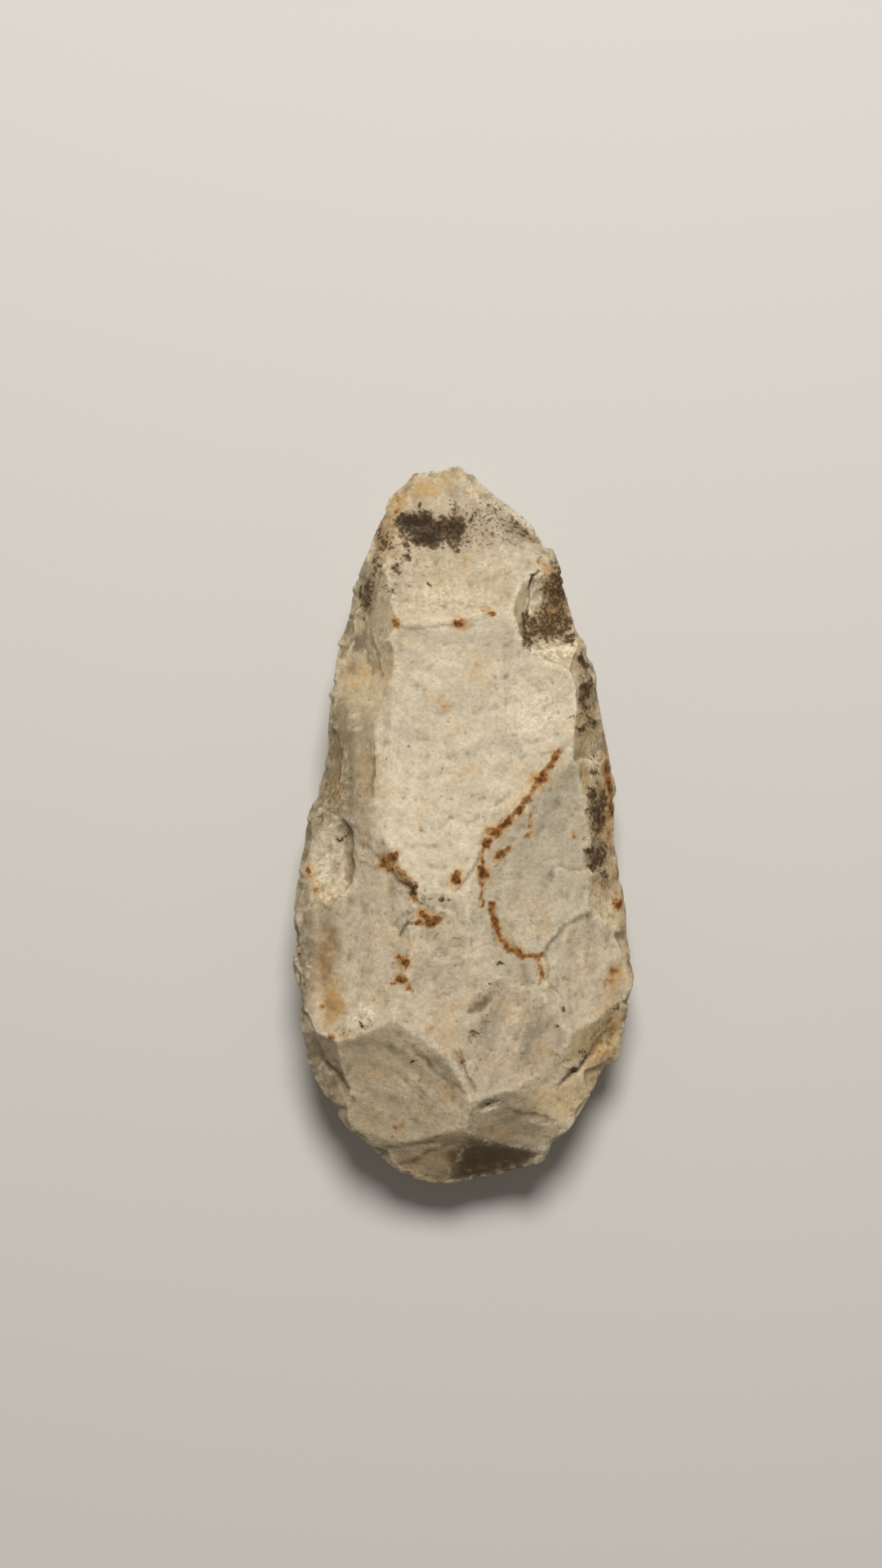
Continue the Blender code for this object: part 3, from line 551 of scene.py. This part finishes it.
def lineAway(points, x, y):
    # distance from a bent line, how far to its left the point lies, and where along it, 0 to 1
    best = np.full(len(x), 1e9)
    side = np.zeros(len(x))
    place = np.zeros(len(x))
    walked = 0.0
    for start, end in zip(points, points[1:]):
        ax, ay = onAxe(*start)
        bx, by = onAxe(*end)
        length = math.hypot(bx - ax, by - ay)
        ux, uy = (bx - ax) / length, (by - ay) / length
        along = np.clip((x - ax) * ux + (y - ay) * uy, 0, length)
        away = np.hypot(x - ax - ux * along, y - ay - uy * along)
        left = ux * (y - ay) - uy * (x - ax)
        closer = away < best
        best = np.where(closer, away, best)
        side = np.where(closer, left, side)
        place = np.where(closer, walked + along, place)
        walked += length
    return best, side, place / walked


def lineMask(lines, x, y):
    value = np.zeros(len(x))
    for points, halfWidth, strength in lines:
        away, _, _ = lineAway(points, x, y)
        reach = halfWidth * picture["mmPerPixel"]
        value = np.maximum(value, strength * (1.0 - smoothStep(0.3, 1.5, away / reach)))
    return value


def stepDrop(x, y):
    value = np.zeros(len(x))
    for points, drop, fade, soft in knappedFlint["steps"]:
        away, left, place = lineAway(points, x, y)
        lowSide = -left if drop > 0 else left
        # nothing beyond the line's ends, so that a step runs out there
        beside = smoothStep(0.55, 0.95, np.abs(left) / np.maximum(away, 1e-6))
        beside *= smoothStep(0.0, 0.25, np.minimum(place, 1 - place))
        value -= 1.15 * abs(drop) * beside * smoothStep(-soft, soft, lowSide) * np.exp(-away / fade)
    for points, depth, halfWidth in knappedFlint["grooves"]:
        away, _, place = lineAway(points, x, y)
        shallow = smoothStep(-0.05, 0.2, np.minimum(place, 1 - place))
        value -= depth * shallow * np.exp(-(away / halfWidth) ** 2)
    return value


def dentDrop(x, y):
    value = np.zeros(len(x))
    for px, py, halfLength, halfWidth, turn, depth, tilt in knappedFlint["dents"]:
        spotX, spotY = onAxe(px, py)
        angle = math.radians(turn)
        dx, dy = x - spotX, y - spotY
        ahead = (dx * math.cos(angle) + dy * math.sin(angle)) / (halfLength * picture["mmPerPixel"])
        aside = (dy * math.cos(angle) - dx * math.sin(angle)) / (halfWidth * picture["mmPerPixel"])
        bowl = depth * (ahead ** 2 + aside ** 2 - 1) - tilt * ahead
        # a soft rim, as on worn stone
        soft = 0.02 + 0.12 * depth
        value -= soft * np.logaddexp(0, np.clip(-bowl / soft, -40, 40))
    return value


def facetRelief(points, size, height, seed):
    # little hollows that meet at low ridges, like the fine flaking of a rough surface
    rng = np.random.default_rng(seed)
    lowest = np.full(len(points), 1e9)
    width, length, _ = knappedFlint["size"]
    x, y = np.ascontiguousarray(points[:, :2].T)
    for i in range(int(width / size) + 3):
        middleX = (i + rng.random() - 1) * size - width / 2
        column = np.flatnonzero(np.abs(x - middleX) < 2.2 * size)
        for j in range(int(length / size) + 3):
            middleY = (j + rng.random() - 1) * size - length / 2
            tilt = rng.normal(size=2) * 0.35
            drop = rng.random()
            near = column[np.abs(y[column] - middleY) < 2.2 * size]
            dx, dy = (x[near] - middleX) / size, (y[near] - middleY) / size
            bowl = dx ** 2 + dy ** 2 + tilt[0] * dx + tilt[1] * dy + 0.5 * drop
            lowest[near] = np.minimum(lowest[near], bowl)
    return height * np.clip(lowest, -0.5, 1.5)


# mesh helpers

def fineCopy(node):
    mesh = bpy.data.meshes.new("knappedFlint")
    shape = bmesh.new()
    shape.from_mesh(node.data)
    bmesh.ops.remove_doubles(shape, verts=shape.verts, dist=0.001 * mm)
    shape.to_mesh(mesh)
    shape.free()
    stone = bpy.data.objects.new("knappedFlint", mesh)
    bpy.context.scene.collection.objects.link(stone)
    remesh = stone.modifiers.new("fine", "REMESH")
    remesh.mode = "VOXEL"
    remesh.voxel_size = knappedFlint["voxel"] * mm
    remesh.adaptivity = 0.0
    applyModifiers(stone)
    return stone


def applyModifiers(stone):
    graph = bpy.context.evaluated_depsgraph_get()
    old = stone.data
    stone.data = bpy.data.meshes.new_from_object(stone.evaluated_get(graph))
    stone.modifiers.clear()
    bpy.data.meshes.remove(old)


def thin(stone):
    # fewer triangles where the stone is smooth
    triangles = sum(len(face.vertices) - 2 for face in stone.data.polygons)
    if triangles <= knappedFlint["mostTriangles"]:
        return
    fewer = stone.modifiers.new("fewer", "DECIMATE")
    fewer.ratio = knappedFlint["mostTriangles"] / triangles
    applyModifiers(stone)


def pointsOf(mesh):
    points = np.empty(len(mesh.vertices) * 3)
    mesh.vertices.foreach_get("co", points)
    return points.reshape(-1, 3) / mm


def setPoints(mesh, points):
    mesh.vertices.foreach_set("co", (points * mm).ravel())
    mesh.update()


def normalsOf(mesh):
    normals = np.empty(len(mesh.vertices) * 3)
    mesh.vertex_normals.foreach_get("vector", normals)
    return normals.reshape(-1, 3)


def hollowness(mesh, points, normals, rounds):
    # how far each point lies below its neighbours, in mm
    ends = np.empty(len(mesh.edges) * 2, dtype=np.int64)
    mesh.edges.foreach_get("vertices", ends)
    a, b = ends.reshape(-1, 2).T
    count = np.bincount(np.concatenate([a, b]), minlength=len(points))[:, None]
    mean = points
    for _ in range(rounds):
        around = np.zeros_like(points)
        np.add.at(around, a, mean[b])
        np.add.at(around, b, mean[a])
        mean = around / count
    return ((mean - points) * normals).sum(axis=1)


def outlineRing(points):
    # the widest points of the body, taken every degree and a half round its middle
    stretch = 2.1
    angles = np.arctan2(points[:, 1], points[:, 0] * stretch)
    reach = np.hypot(points[:, 0] * stretch, points[:, 1])
    ring = []
    for step in range(240):
        middle = -math.pi + (step + 0.5) * math.pi / 120
        near = np.abs((angles - middle + math.pi) % (2 * math.pi) - math.pi) < math.pi / 150
        ring.append(points[near][reach[near].argmax(), :2])
    return np.array(ring)


def outlineAway(points, ring):
    # distance from the outline seen from above, the way outwards, and the place along it
    x, y = np.ascontiguousarray(points.T)
    following = np.roll(ring, -1, axis=0)
    lengths = np.hypot(*(following - ring).T)
    before = np.concatenate([[0.0], np.cumsum(lengths)[:-1]])
    best = np.full(len(points), 1e9)
    outward = np.zeros((len(points), 2))
    place = np.zeros(len(points))
    for a, b, length, offset in zip(ring, following, lengths, before):
        if length == 0:
            continue
        u = (b - a) / length
        along = np.clip((x - a[0]) * u[0] + (y - a[1]) * u[1], 0, length)
        away = np.hypot(x - a[0] - along * u[0], y - a[1] - along * u[1])
        closer = np.flatnonzero(away < best)
        best[closer] = away[closer]
        outward[closer] = (u[1], -u[0])
        place[closer] = offset + along[closer]
    return best, outward, place


# relief

def stoneFields(points):
    # the ridges wander a little, less so round the butt
    warpX, warpY = warped(points, *knappedFlint["ridgeWander"])
    calm = smoothStep(*knappedFlint["calmButt"], points[:, 1])
    x = points[:, 0] + calm * (warpX - points[:, 0])
    y = points[:, 1] + calm * (warpY - points[:, 1])
    wobble = 1.6 * lumps(points, 9.0, 2, 1)
    low, high = knappedFlint["ridgeWear"]
    wear = low + (high - low) * smoothStep(-0.4, 0.6, lumps(points, 6.0, 2, 2))
    wear = np.maximum(wear, spotMask(knappedFlint["wornRidges"], x, y, 1.5))
    front = scarSurface(list(knappedFlint["frontScars"].values()), 1, x, y, wobble, wear)
    back = scarSurface(list(knappedFlint["backScars"].values()), -1, x, y, wobble, wear)
    return front, back


def weatherStone(stone):
    mesh = stone.data
    points = pointsOf(mesh)
    normals = normalsOf(mesh)
    x, y, z = points.T
    upper = normals[:, 2] > 0
    ring = outlineRing(points)
    rimAway, outward, rimPlace = outlineAway(points[:, :2], ring)
    (frontZ, frontRipple, _), (backZ, backRipple, _) = stoneFields(points)
    low, high = knappedFlint["chipDepth"]
    inner = smoothStep(0.25, 1.1, rimAway)
    onFront = upper * (1 - smoothStep(low, high, frontZ - z)) * inner
    onBack = ~upper * (1 - smoothStep(low, high, z - backZ)) * inner
    flatPart = z < knappedFlint["flatHeight"]
    points[:, 2] += onFront * (frontZ - z) + np.where(flatPart, 0, onBack * (backZ - z))
    print("scars laid")

    crumbly = spotMask(knappedFlint["crumbly"], x, y, 1.6) * upper
    warpX, warpY = warped(points, *knappedFlint["stepWander"])
    # less of it where the face is steep
    level = upper * inner * np.clip(normals[:, 2], 0, 1) ** 2
    points[:, 2] += upper * inner * (stepDrop(warpX, warpY) + dentDrop(warpX, warpY))
    points[:, 2] += level * facetRelief(points, *knappedFlint["broadFacets"])
    points[:, 2] += level * (0.35 + crumbly) * facetRelief(points, *knappedFlint["fineFacets"])
    points[:, 2] -= ~upper * ~flatPart * inner * facetRelief(points, *knappedFlint["hiddenFacets"])
    # the flat underneath is hollowed a little, so that the stone rests on the ridges round it
    others = [scar for name, scar in knappedFlint["backScars"].items() if name != "flat"]
    ridgeAway = -np.max([dishHeight(scar, -1, x, y) for scar in others], axis=0)
    hollowed = 0.40 + 0.30 * lumps(points, 7.0, 2, 14) + facetRelief(points, *knappedFlint["flatFacets"])
    points[:, 2] += flatPart * smoothStep(0.0, 1.6, ridgeAway) * np.maximum(0, hollowed)
    print("flaking done")

    # nicks out of the edge, seen in the outline
    edge = np.stack([rimPlace, 0 * z, 0.12 * z], axis=1)
    nick = 0.50 * smoothStep(0.15, 0.75, lumps(edge, 4.5, 3, 3))
    nick += 0.30 * smoothStep(0.25, 0.8, lumps(edge, 1.7, 2, 4)) + 0.10 * np.abs(lumps(points, 0.9, 2, 5))
    for px, py, reach, shift in knappedFlint["edgeShifts"]:
        spotX, spotY = onAxe(px, py)
        away = np.hypot(x - spotX, y - spotY) / (reach * picture["mmPerPixel"])
        nick -= shift * np.exp(-away ** 2)
    points[:, :2] -= outward * (nick * np.exp(-rimAway / knappedFlint["nickReach"]))[:, None]
    setPoints(mesh, points)
    print("edge nicked")

    normals = normalsOf(mesh)
    rough = sum(height * lumps(points, *pattern) for height, *pattern in knappedFlint["surface"])
    rough += crumbly * (0.17 * lumps(points, 1.9, 3, 9) - 0.12 * np.abs(lumps(points, 1.1, 2, 10)))
    rough += knappedFlint["rippleHeight"] * np.where(upper, frontRipple, backRipple)
    rough -= 0.22 * np.maximum(0, lumps(points, 1.2, 2, 11) - 0.50)
    rust, manganese = stainShapes(points)
    rough += upper * (0.17 * smoothStep(0.45, 1.0, rust) * (0.7 + 0.6 * lumps(points, 0.9, 2, 12)))
    rough += upper * 0.10 * smoothStep(0.4, 1.0, manganese) * np.abs(lumps(points, 0.8, 2, 13))
    points += normals * (np.where(flatPart, 0.6, 1.0) * rough)[:, None]
    setPoints(mesh, points)
    thin(stone)
    boxLow, boxHigh = (np.array(corner) / mm for corner in cadBox)
    setPoints(stone.data, np.clip(pointsOf(stone.data), boxLow, boxHigh))
    print("stone weathered:", len(stone.data.polygons), "faces")


# stains

def warped(points, size, reach, seed):
    return (points[:, 0] + reach * lumps(points, size, 3, seed),
            points[:, 1] + reach * lumps(points, size, 3, seed + 1))


def stainShapes(points):
    x, y = warped(points, *knappedFlint["rustWander"])
    rust = np.maximum(spotMask(knappedFlint["rust"], x, y), lineMask(knappedFlint["rustLines"], x, y))
    x, y = warped(points, *knappedFlint["blackWander"])
    manganese = spotMask(knappedFlint["manganese"], x, y, 1.7)
    return rust, manganese


def stainStone(stone):
    mesh = stone.data
    points = pointsOf(mesh)
    normals = normalsOf(mesh)
    upper = normals[:, 2] > 0
    front = smoothStep(-0.15, 0.15, normals[:, 2])
    (_, _, frontTint), (_, _, backTint) = stoneFields(points)
    rimAway, _, _ = outlineAway(points[:, :2], outlineRing(points))
    rust, manganese = stainShapes(points)
    wideX, wideY = warped(points, *knappedFlint["stainWander"])
    masks = {"rust": front * rust, "manganese": front * manganese}
    for name in ("ochre", "greyStain", "chalkAndLight"):
        masks[name] = front * spotMask(knappedFlint[name], wideX, wideY, 1.5)
    halo = 0.9 * front * spotMask(knappedFlint["rust"], wideX, wideY, 2.8)
    masks["ochre"] = np.maximum(masks["ochre"], halo)
    # the painted shadow lines wander a little
    x, y = warped(points, *knappedFlint["shadowLineWander"])
    masks["grimeAndShade"] = front * np.maximum(spotMask(knappedFlint["grimeAndShadeSpots"], wideX, wideY, 1.5),
                                        lineMask(knappedFlint["paintedShadowLines"], x, y))
    back = 1 - front
    broad = lumps(points, 14.0, 2, 37)
    fine = lumps(points, 2.6, 3, 38)
    edge = 1 - smoothStep(1.0, 7.0, rimAway)
    masks["ochre"] += back * 0.8 * smoothStep(0.0, 0.6, broad + 0.3 * edge)
    masks["greyStain"] += back * 0.7 * smoothStep(0.05, 0.6, -broad)
    masks["chalkAndLight"] += back * 0.6 * smoothStep(0.1, 0.6, lumps(points, 9.0, 2, 39))
    masks["rust"] += back * smoothStep(0.62, 0.95, fine + 0.3 * broad)
    masks["manganese"] += back * 0.8 * smoothStep(0.60, 0.95, -fine + 0.25 * edge)
    masks["grimeAndShade"] += back * 0.5 * smoothStep(0.1, 0.7, broad - fine)
    masks["rim"] = 1 - smoothStep(0.3, 2.6, rimAway + 0.8 * fine)
    masks["crumbly"] = front * spotMask(knappedFlint["crumbly"], wideX, wideY, 1.6)
    hollow = hollowness(mesh, points, normals, 4)
    # the hollows: where a point lies below its neighbours, for painted shade with some grime
    masks["hollow"] = smoothStep(0.012, 0.07, hollow)
    # the crests: where a point lies above its neighbours, for wear and a painted highlight
    masks["crest"] = smoothStep(0.015, 0.09, -hollow)
    for name, values in masks.items():
        layer = mesh.attributes.new(name, "FLOAT", "POINT")
        layer.data.foreach_set("value", values.astype(np.float32))
    tint = np.where(upper[:, None], frontTint, backTint)
    layer = mesh.attributes.new("scarTint", "FLOAT_COLOR", "POINT")
    opaque = np.column_stack([tint, np.ones(len(tint))]).astype(np.float32)
    layer.data.foreach_set("color", opaque.ravel())
    mesh.shade_smooth()
    print("stains laid")


# material

def addNode(tree, kind, settings=None, inputs=None):
    made = tree.nodes.new(kind)
    for name, value in (settings or {}).items():
        setattr(made, name, value)
    for name, value in (inputs or {}).items():
        if isinstance(value, bpy.types.NodeSocket):
            tree.links.new(value, made.inputs[name])
        else:
            made.inputs[name].default_value = value
    return made


def patinatedFlint():
    # Flint that lay in the ground: a dull cream skin over grey, fine specks, rust where iron
    # settled along the ridges, black crusts of manganese in the rough places.
    material = bpy.data.materials.new("patinatedFlint")
    material.use_nodes = True
    tree = material.node_tree
    shader = tree.nodes["Principled BSDF"]
    place = addNode(tree, "ShaderNodeTexCoord").outputs["Object"]
    colours = knappedFlint["colours"]

    def attribute(name, output="Fac"):
        return addNode(tree, "ShaderNodeAttribute", {"attribute_name": name}).outputs[output]

    def noise(size, detail=2.0, roughness=0.55, at=place):
        # size of one lump in mm
        made = addNode(tree, "ShaderNodeTexNoise", {"noise_dimensions": "3D"},
                       {"Vector": at, "Scale": 1 / (size * mm), "Detail": detail, "Roughness": roughness})
        return made.outputs["Fac"]

    def between(value, low, high, toLow=0.0, toHigh=1.0):
        made = addNode(tree, "ShaderNodeMapRange", {"interpolation_type": "SMOOTHSTEP"},
                       {"Value": value, "From Min": low, "From Max": high,
                        "To Min": toLow, "To Max": toHigh})
        return made.outputs["Result"]

    def combine(kind, first, second):
        return addNode(tree, "ShaderNodeMath", {"operation": kind}, {0: first, 1: second}).outputs["Value"]

    def mix(amount, under, hexColour, blend="MIX"):
        made = addNode(tree, "ShaderNodeMix", {"data_type": "RGBA", "blend_type": blend},
                       {"Factor": amount, 6: under, 7: (*linear(hexColour), 1.0)})
        return made.outputs[2]

    def tone(colour, pattern, low, high, darkest, palest):
        factor = between(pattern, low, high, darkest, palest)
        made = addNode(tree, "ShaderNodeVectorMath", {"operation": "SCALE"}, {0: colour, "Scale": factor})
        return made.outputs["Vector"]

    mottle = noise(2.4, 4.0, 0.62)
    fine = noise(0.7, 3.0, 0.6)
    grain = noise(0.35, 2.0, 0.6)
    blotch = noise(8.0, 4.0, 0.6)
    elsewhere = addNode(tree, "ShaderNodeVectorMath", {"operation": "ADD"}, {0: place, 1: (0.3, 0.1, 0.2)})
    warmth = noise(5.0, 4.0, 0.6, elsewhere.outputs["Vector"])
    base = attribute("scarTint", "Color")
    base = tone(base, blotch, 0.32, 0.68, 0.92, 1.06)
    base = tone(base, mottle, 0.30, 0.70, 0.90, 1.08)
    base = mix(between(warmth, 0.50, 0.68, 0.0, 0.40), base, colours["warm"], "MULTIPLY")
    base = mix(between(warmth, 0.48, 0.32, 0.0, 0.50), base, colours["cool"], "MULTIPLY")
    greys = combine("MULTIPLY", attribute("greyStain"), between(mottle, 0.3, 0.6, 0.60, 1.0))
    base = mix(between(greys, 0.05, 1.1, 0.0, 0.80), base, colours["grey"])
    ochres = combine("MULTIPLY", attribute("ochre"), between(mottle, 0.32, 0.62, 0.55, 1.0))
    base = mix(between(ochres, 0.05, 1.05, 0.0, 0.88), base, colours["ochre"])
    # chalky skin, and painted light on some steep walls
    chalksAndLight = combine("MULTIPLY", attribute("chalkAndLight"), between(fine, 0.35, 0.6, 0.45, 1.0))
    base = mix(between(chalksAndLight, 0.05, 1.1, 0.0, 0.85), base, colours["chalkAndLight"])
    # grime and painted shade, with painted shadow lines along the steps
    grimesAndShade = combine("MULTIPLY", attribute("grimeAndShade"), between(mottle, 0.30, 0.60, 0.65, 1.0))
    base = mix(between(grimesAndShade, 0.03, 1.0, 0.0, 0.88), base, colours["grimeAndShade"])
    # paler on the ridge crests: partly wear, partly a painted highlight
    crestWearAndHighlight = combine("MULTIPLY", attribute("crest"), between(fine, 0.35, 0.60, 0.2, 0.65))
    base = mix(crestWearAndHighlight, base, colours["crest"])
    rimCrumbs = between(noise(1.6, 3.0), 0.44, 0.60, 0.0, 0.45)
    base = mix(combine("MULTIPLY", attribute("rim"), rimCrumbs), base, colours["rimPale"])
    # painted shade darkens the rim in patches, with some dirt
    rimShadeAndDirt = combine("MULTIPLY", attribute("rim"), between(mottle, 0.52, 0.38, 0.0, 0.60))
    base = mix(rimShadeAndDirt, base, colours["rimShadeAndDirt"])
    # painted shade in the hollows and pores, with some grime: darker where the surface lies below its
    # neighbours
    hollowShadeAndGrime = combine("MULTIPLY", attribute("hollow"), between(fine, 0.30, 0.60, 0.25, 0.65))
    base = mix(hollowShadeAndGrime, base, colours["hollow"])
    base = tone(base, fine, 0.30, 0.70, 0.88, 1.06)
    base = tone(base, grain, 0.28, 0.60, 0.95, 1.02)
    # single dark specks, thicker where the skin is rough
    specks = combine("ADD", noise(0.8, 3.0, 0.55), between(noise(6.0, 2.0), 0.40, 0.65, 0.0, 0.06))
    specks = combine("ADD", specks, combine("MULTIPLY", attribute("crumbly"), 0.09))
    base = mix(between(specks, 0.67, 0.78, 0.0, 0.55), base, colours["speck"])
    # iron: ochre halo, brown crust, dark heart
    rust = combine("ADD", attribute("rust"), between(noise(0.8, 3.0, 0.6), 0.25, 0.75, -0.32, 0.32))
    base = mix(between(attribute("rust"), 0.02, 0.60, 0.0, 0.70), base, colours["rustHalo"])
    base = mix(between(rust, 0.22, 0.92, 0.0, 0.95), base, colours["rustCrust"])
    base = mix(between(rust, 0.78, 1.25, 0.0, 0.80), base, colours["rustHeart"])
    rustHere = between(attribute("rust"), 0.4, 0.9)
    rustPale = combine("MULTIPLY", rustHere, between(fine, 0.48, 0.64, 0.0, 0.55))
    base = mix(rustPale, base, colours["rustPale"])
    # manganese: speckled round its edge, nearly whole in the middle
    flecks = between(noise(0.6, 3.0, 0.62), 0.30, 0.70, -0.42, 0.42)
    black = combine("ADD", attribute("manganese"), flecks)
    base = mix(between(attribute("manganese"), 0.10, 0.95, 0.0, 0.70), base, colours["blackHalo"])
    base = mix(between(black, 0.34, 0.80, 0.0, 0.88), base, colours["black"])
    base = mix(between(black, 0.80, 1.40, 0.0, 0.92), base, colours["blackHeart"])
    tree.links.new(base, shader.inputs["Base Color"])
    tree.links.new(between(noise(3.0, 3.0), 0.3, 0.7, 0.62, 0.82), shader.inputs["Roughness"])
    shader.inputs["IOR"].default_value = 1.5
    shader.inputs["Specular IOR Level"].default_value = 0.2
    pores = combine("ADD", noise(0.55, 5.0, 0.72), between(noise(0.4, 2.0), 0.36, 0.26, 0.0, -0.5))
    bump = addNode(tree, "ShaderNodeBump", {}, {"Strength": 0.9, "Distance": 0.10 * mm, "Height": pores})
    tree.links.new(bump.outputs["Normal"], shader.inputs["Normal"])
    return material


stone = fineCopy(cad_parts["flint_body"])
print("fine copy made:", len(stone.data.vertices), "points")
weatherStone(stone)
stainStone(stone)
stone.data.materials.clear()
stone.data.materials.append(patinatedFlint())
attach(stone, "root")
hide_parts("flint_body")

# floor, light and camera

studio = {
    "floor": "#d6d2ca",
    "floorSize": 1.5,
    "keyWay": (0.03, 0.52, 0.85),
    "keyDistance": 0.9,
    "keySize": 0.32,
    "keyPower": 7.4,
    "world": "#efece6",
    "worldStrength": 0.18,
    "cameraHeight": 0.46,
    "pictureMm": 250.8,
    "sensorMm": 36.0,
}


def makeFloor():
    mesh = bpy.data.meshes.new("floor")
    shape = bmesh.new()
    bmesh.ops.create_grid(shape, x_segments=1, y_segments=1, size=studio["floorSize"])
    shape.to_mesh(mesh)
    shape.free()
    floor = bpy.data.objects.new("floor", mesh)
    bpy.context.scene.collection.objects.link(floor)
    # matt paper: pale and even, with no shine
    paper = bpy.data.materials.new("palePaper")
    paper.use_nodes = True
    sheet = paper.node_tree.nodes["Principled BSDF"]
    sheet.inputs["Base Color"].default_value = (*linear(studio["floor"]), 1)
    sheet.inputs["Roughness"].default_value = 0.9
    mesh.materials.append(paper)


def makeLights():
    way = Vector(studio["keyWay"]).normalized()
    light = bpy.data.lights.new("softbox", "AREA")
    light.shape = "DISK"
    light.size = studio["keySize"]
    light.energy = studio["keyPower"]
    lamp = bpy.data.objects.new("softbox", light)
    lamp.location = way * studio["keyDistance"]
    lamp.rotation_euler = way.to_track_quat("Z", "Y").to_euler()
    bpy.context.scene.collection.objects.link(lamp)
    world = bpy.data.worlds.new("studio")
    world.use_nodes = True
    back = world.node_tree.nodes["Background"]
    back.inputs["Color"].default_value = (*linear(studio["world"]), 1)
    back.inputs["Strength"].default_value = studio["worldStrength"]
    bpy.context.scene.world = world


def makeCamera():
    lens = bpy.data.cameras.new("camera")
    lens.sensor_fit = "VERTICAL"
    lens.sensor_height = studio["sensorMm"]
    # the picture's long side spans pictureMm at the axe's edge, halfway up the stone
    edgeHeight = 0.5 * knappedFlint["size"][2] * mm
    lens.lens = studio["sensorMm"] * studio["cameraHeight"] / (studio["pictureMm"] * mm)
    camera = bpy.data.objects.new("camera", lens)
    centreX, centreY = onAxe(540, 959.5)
    camera.location = (centreX * mm, centreY * mm, studio["cameraHeight"] + edgeHeight)
    bpy.context.scene.collection.objects.link(camera)
    bpy.context.scene.camera = camera


makeFloor()
makeLights()
makeCamera()
bpy.context.scene.view_settings.view_transform = "Standard"
print("studio set")
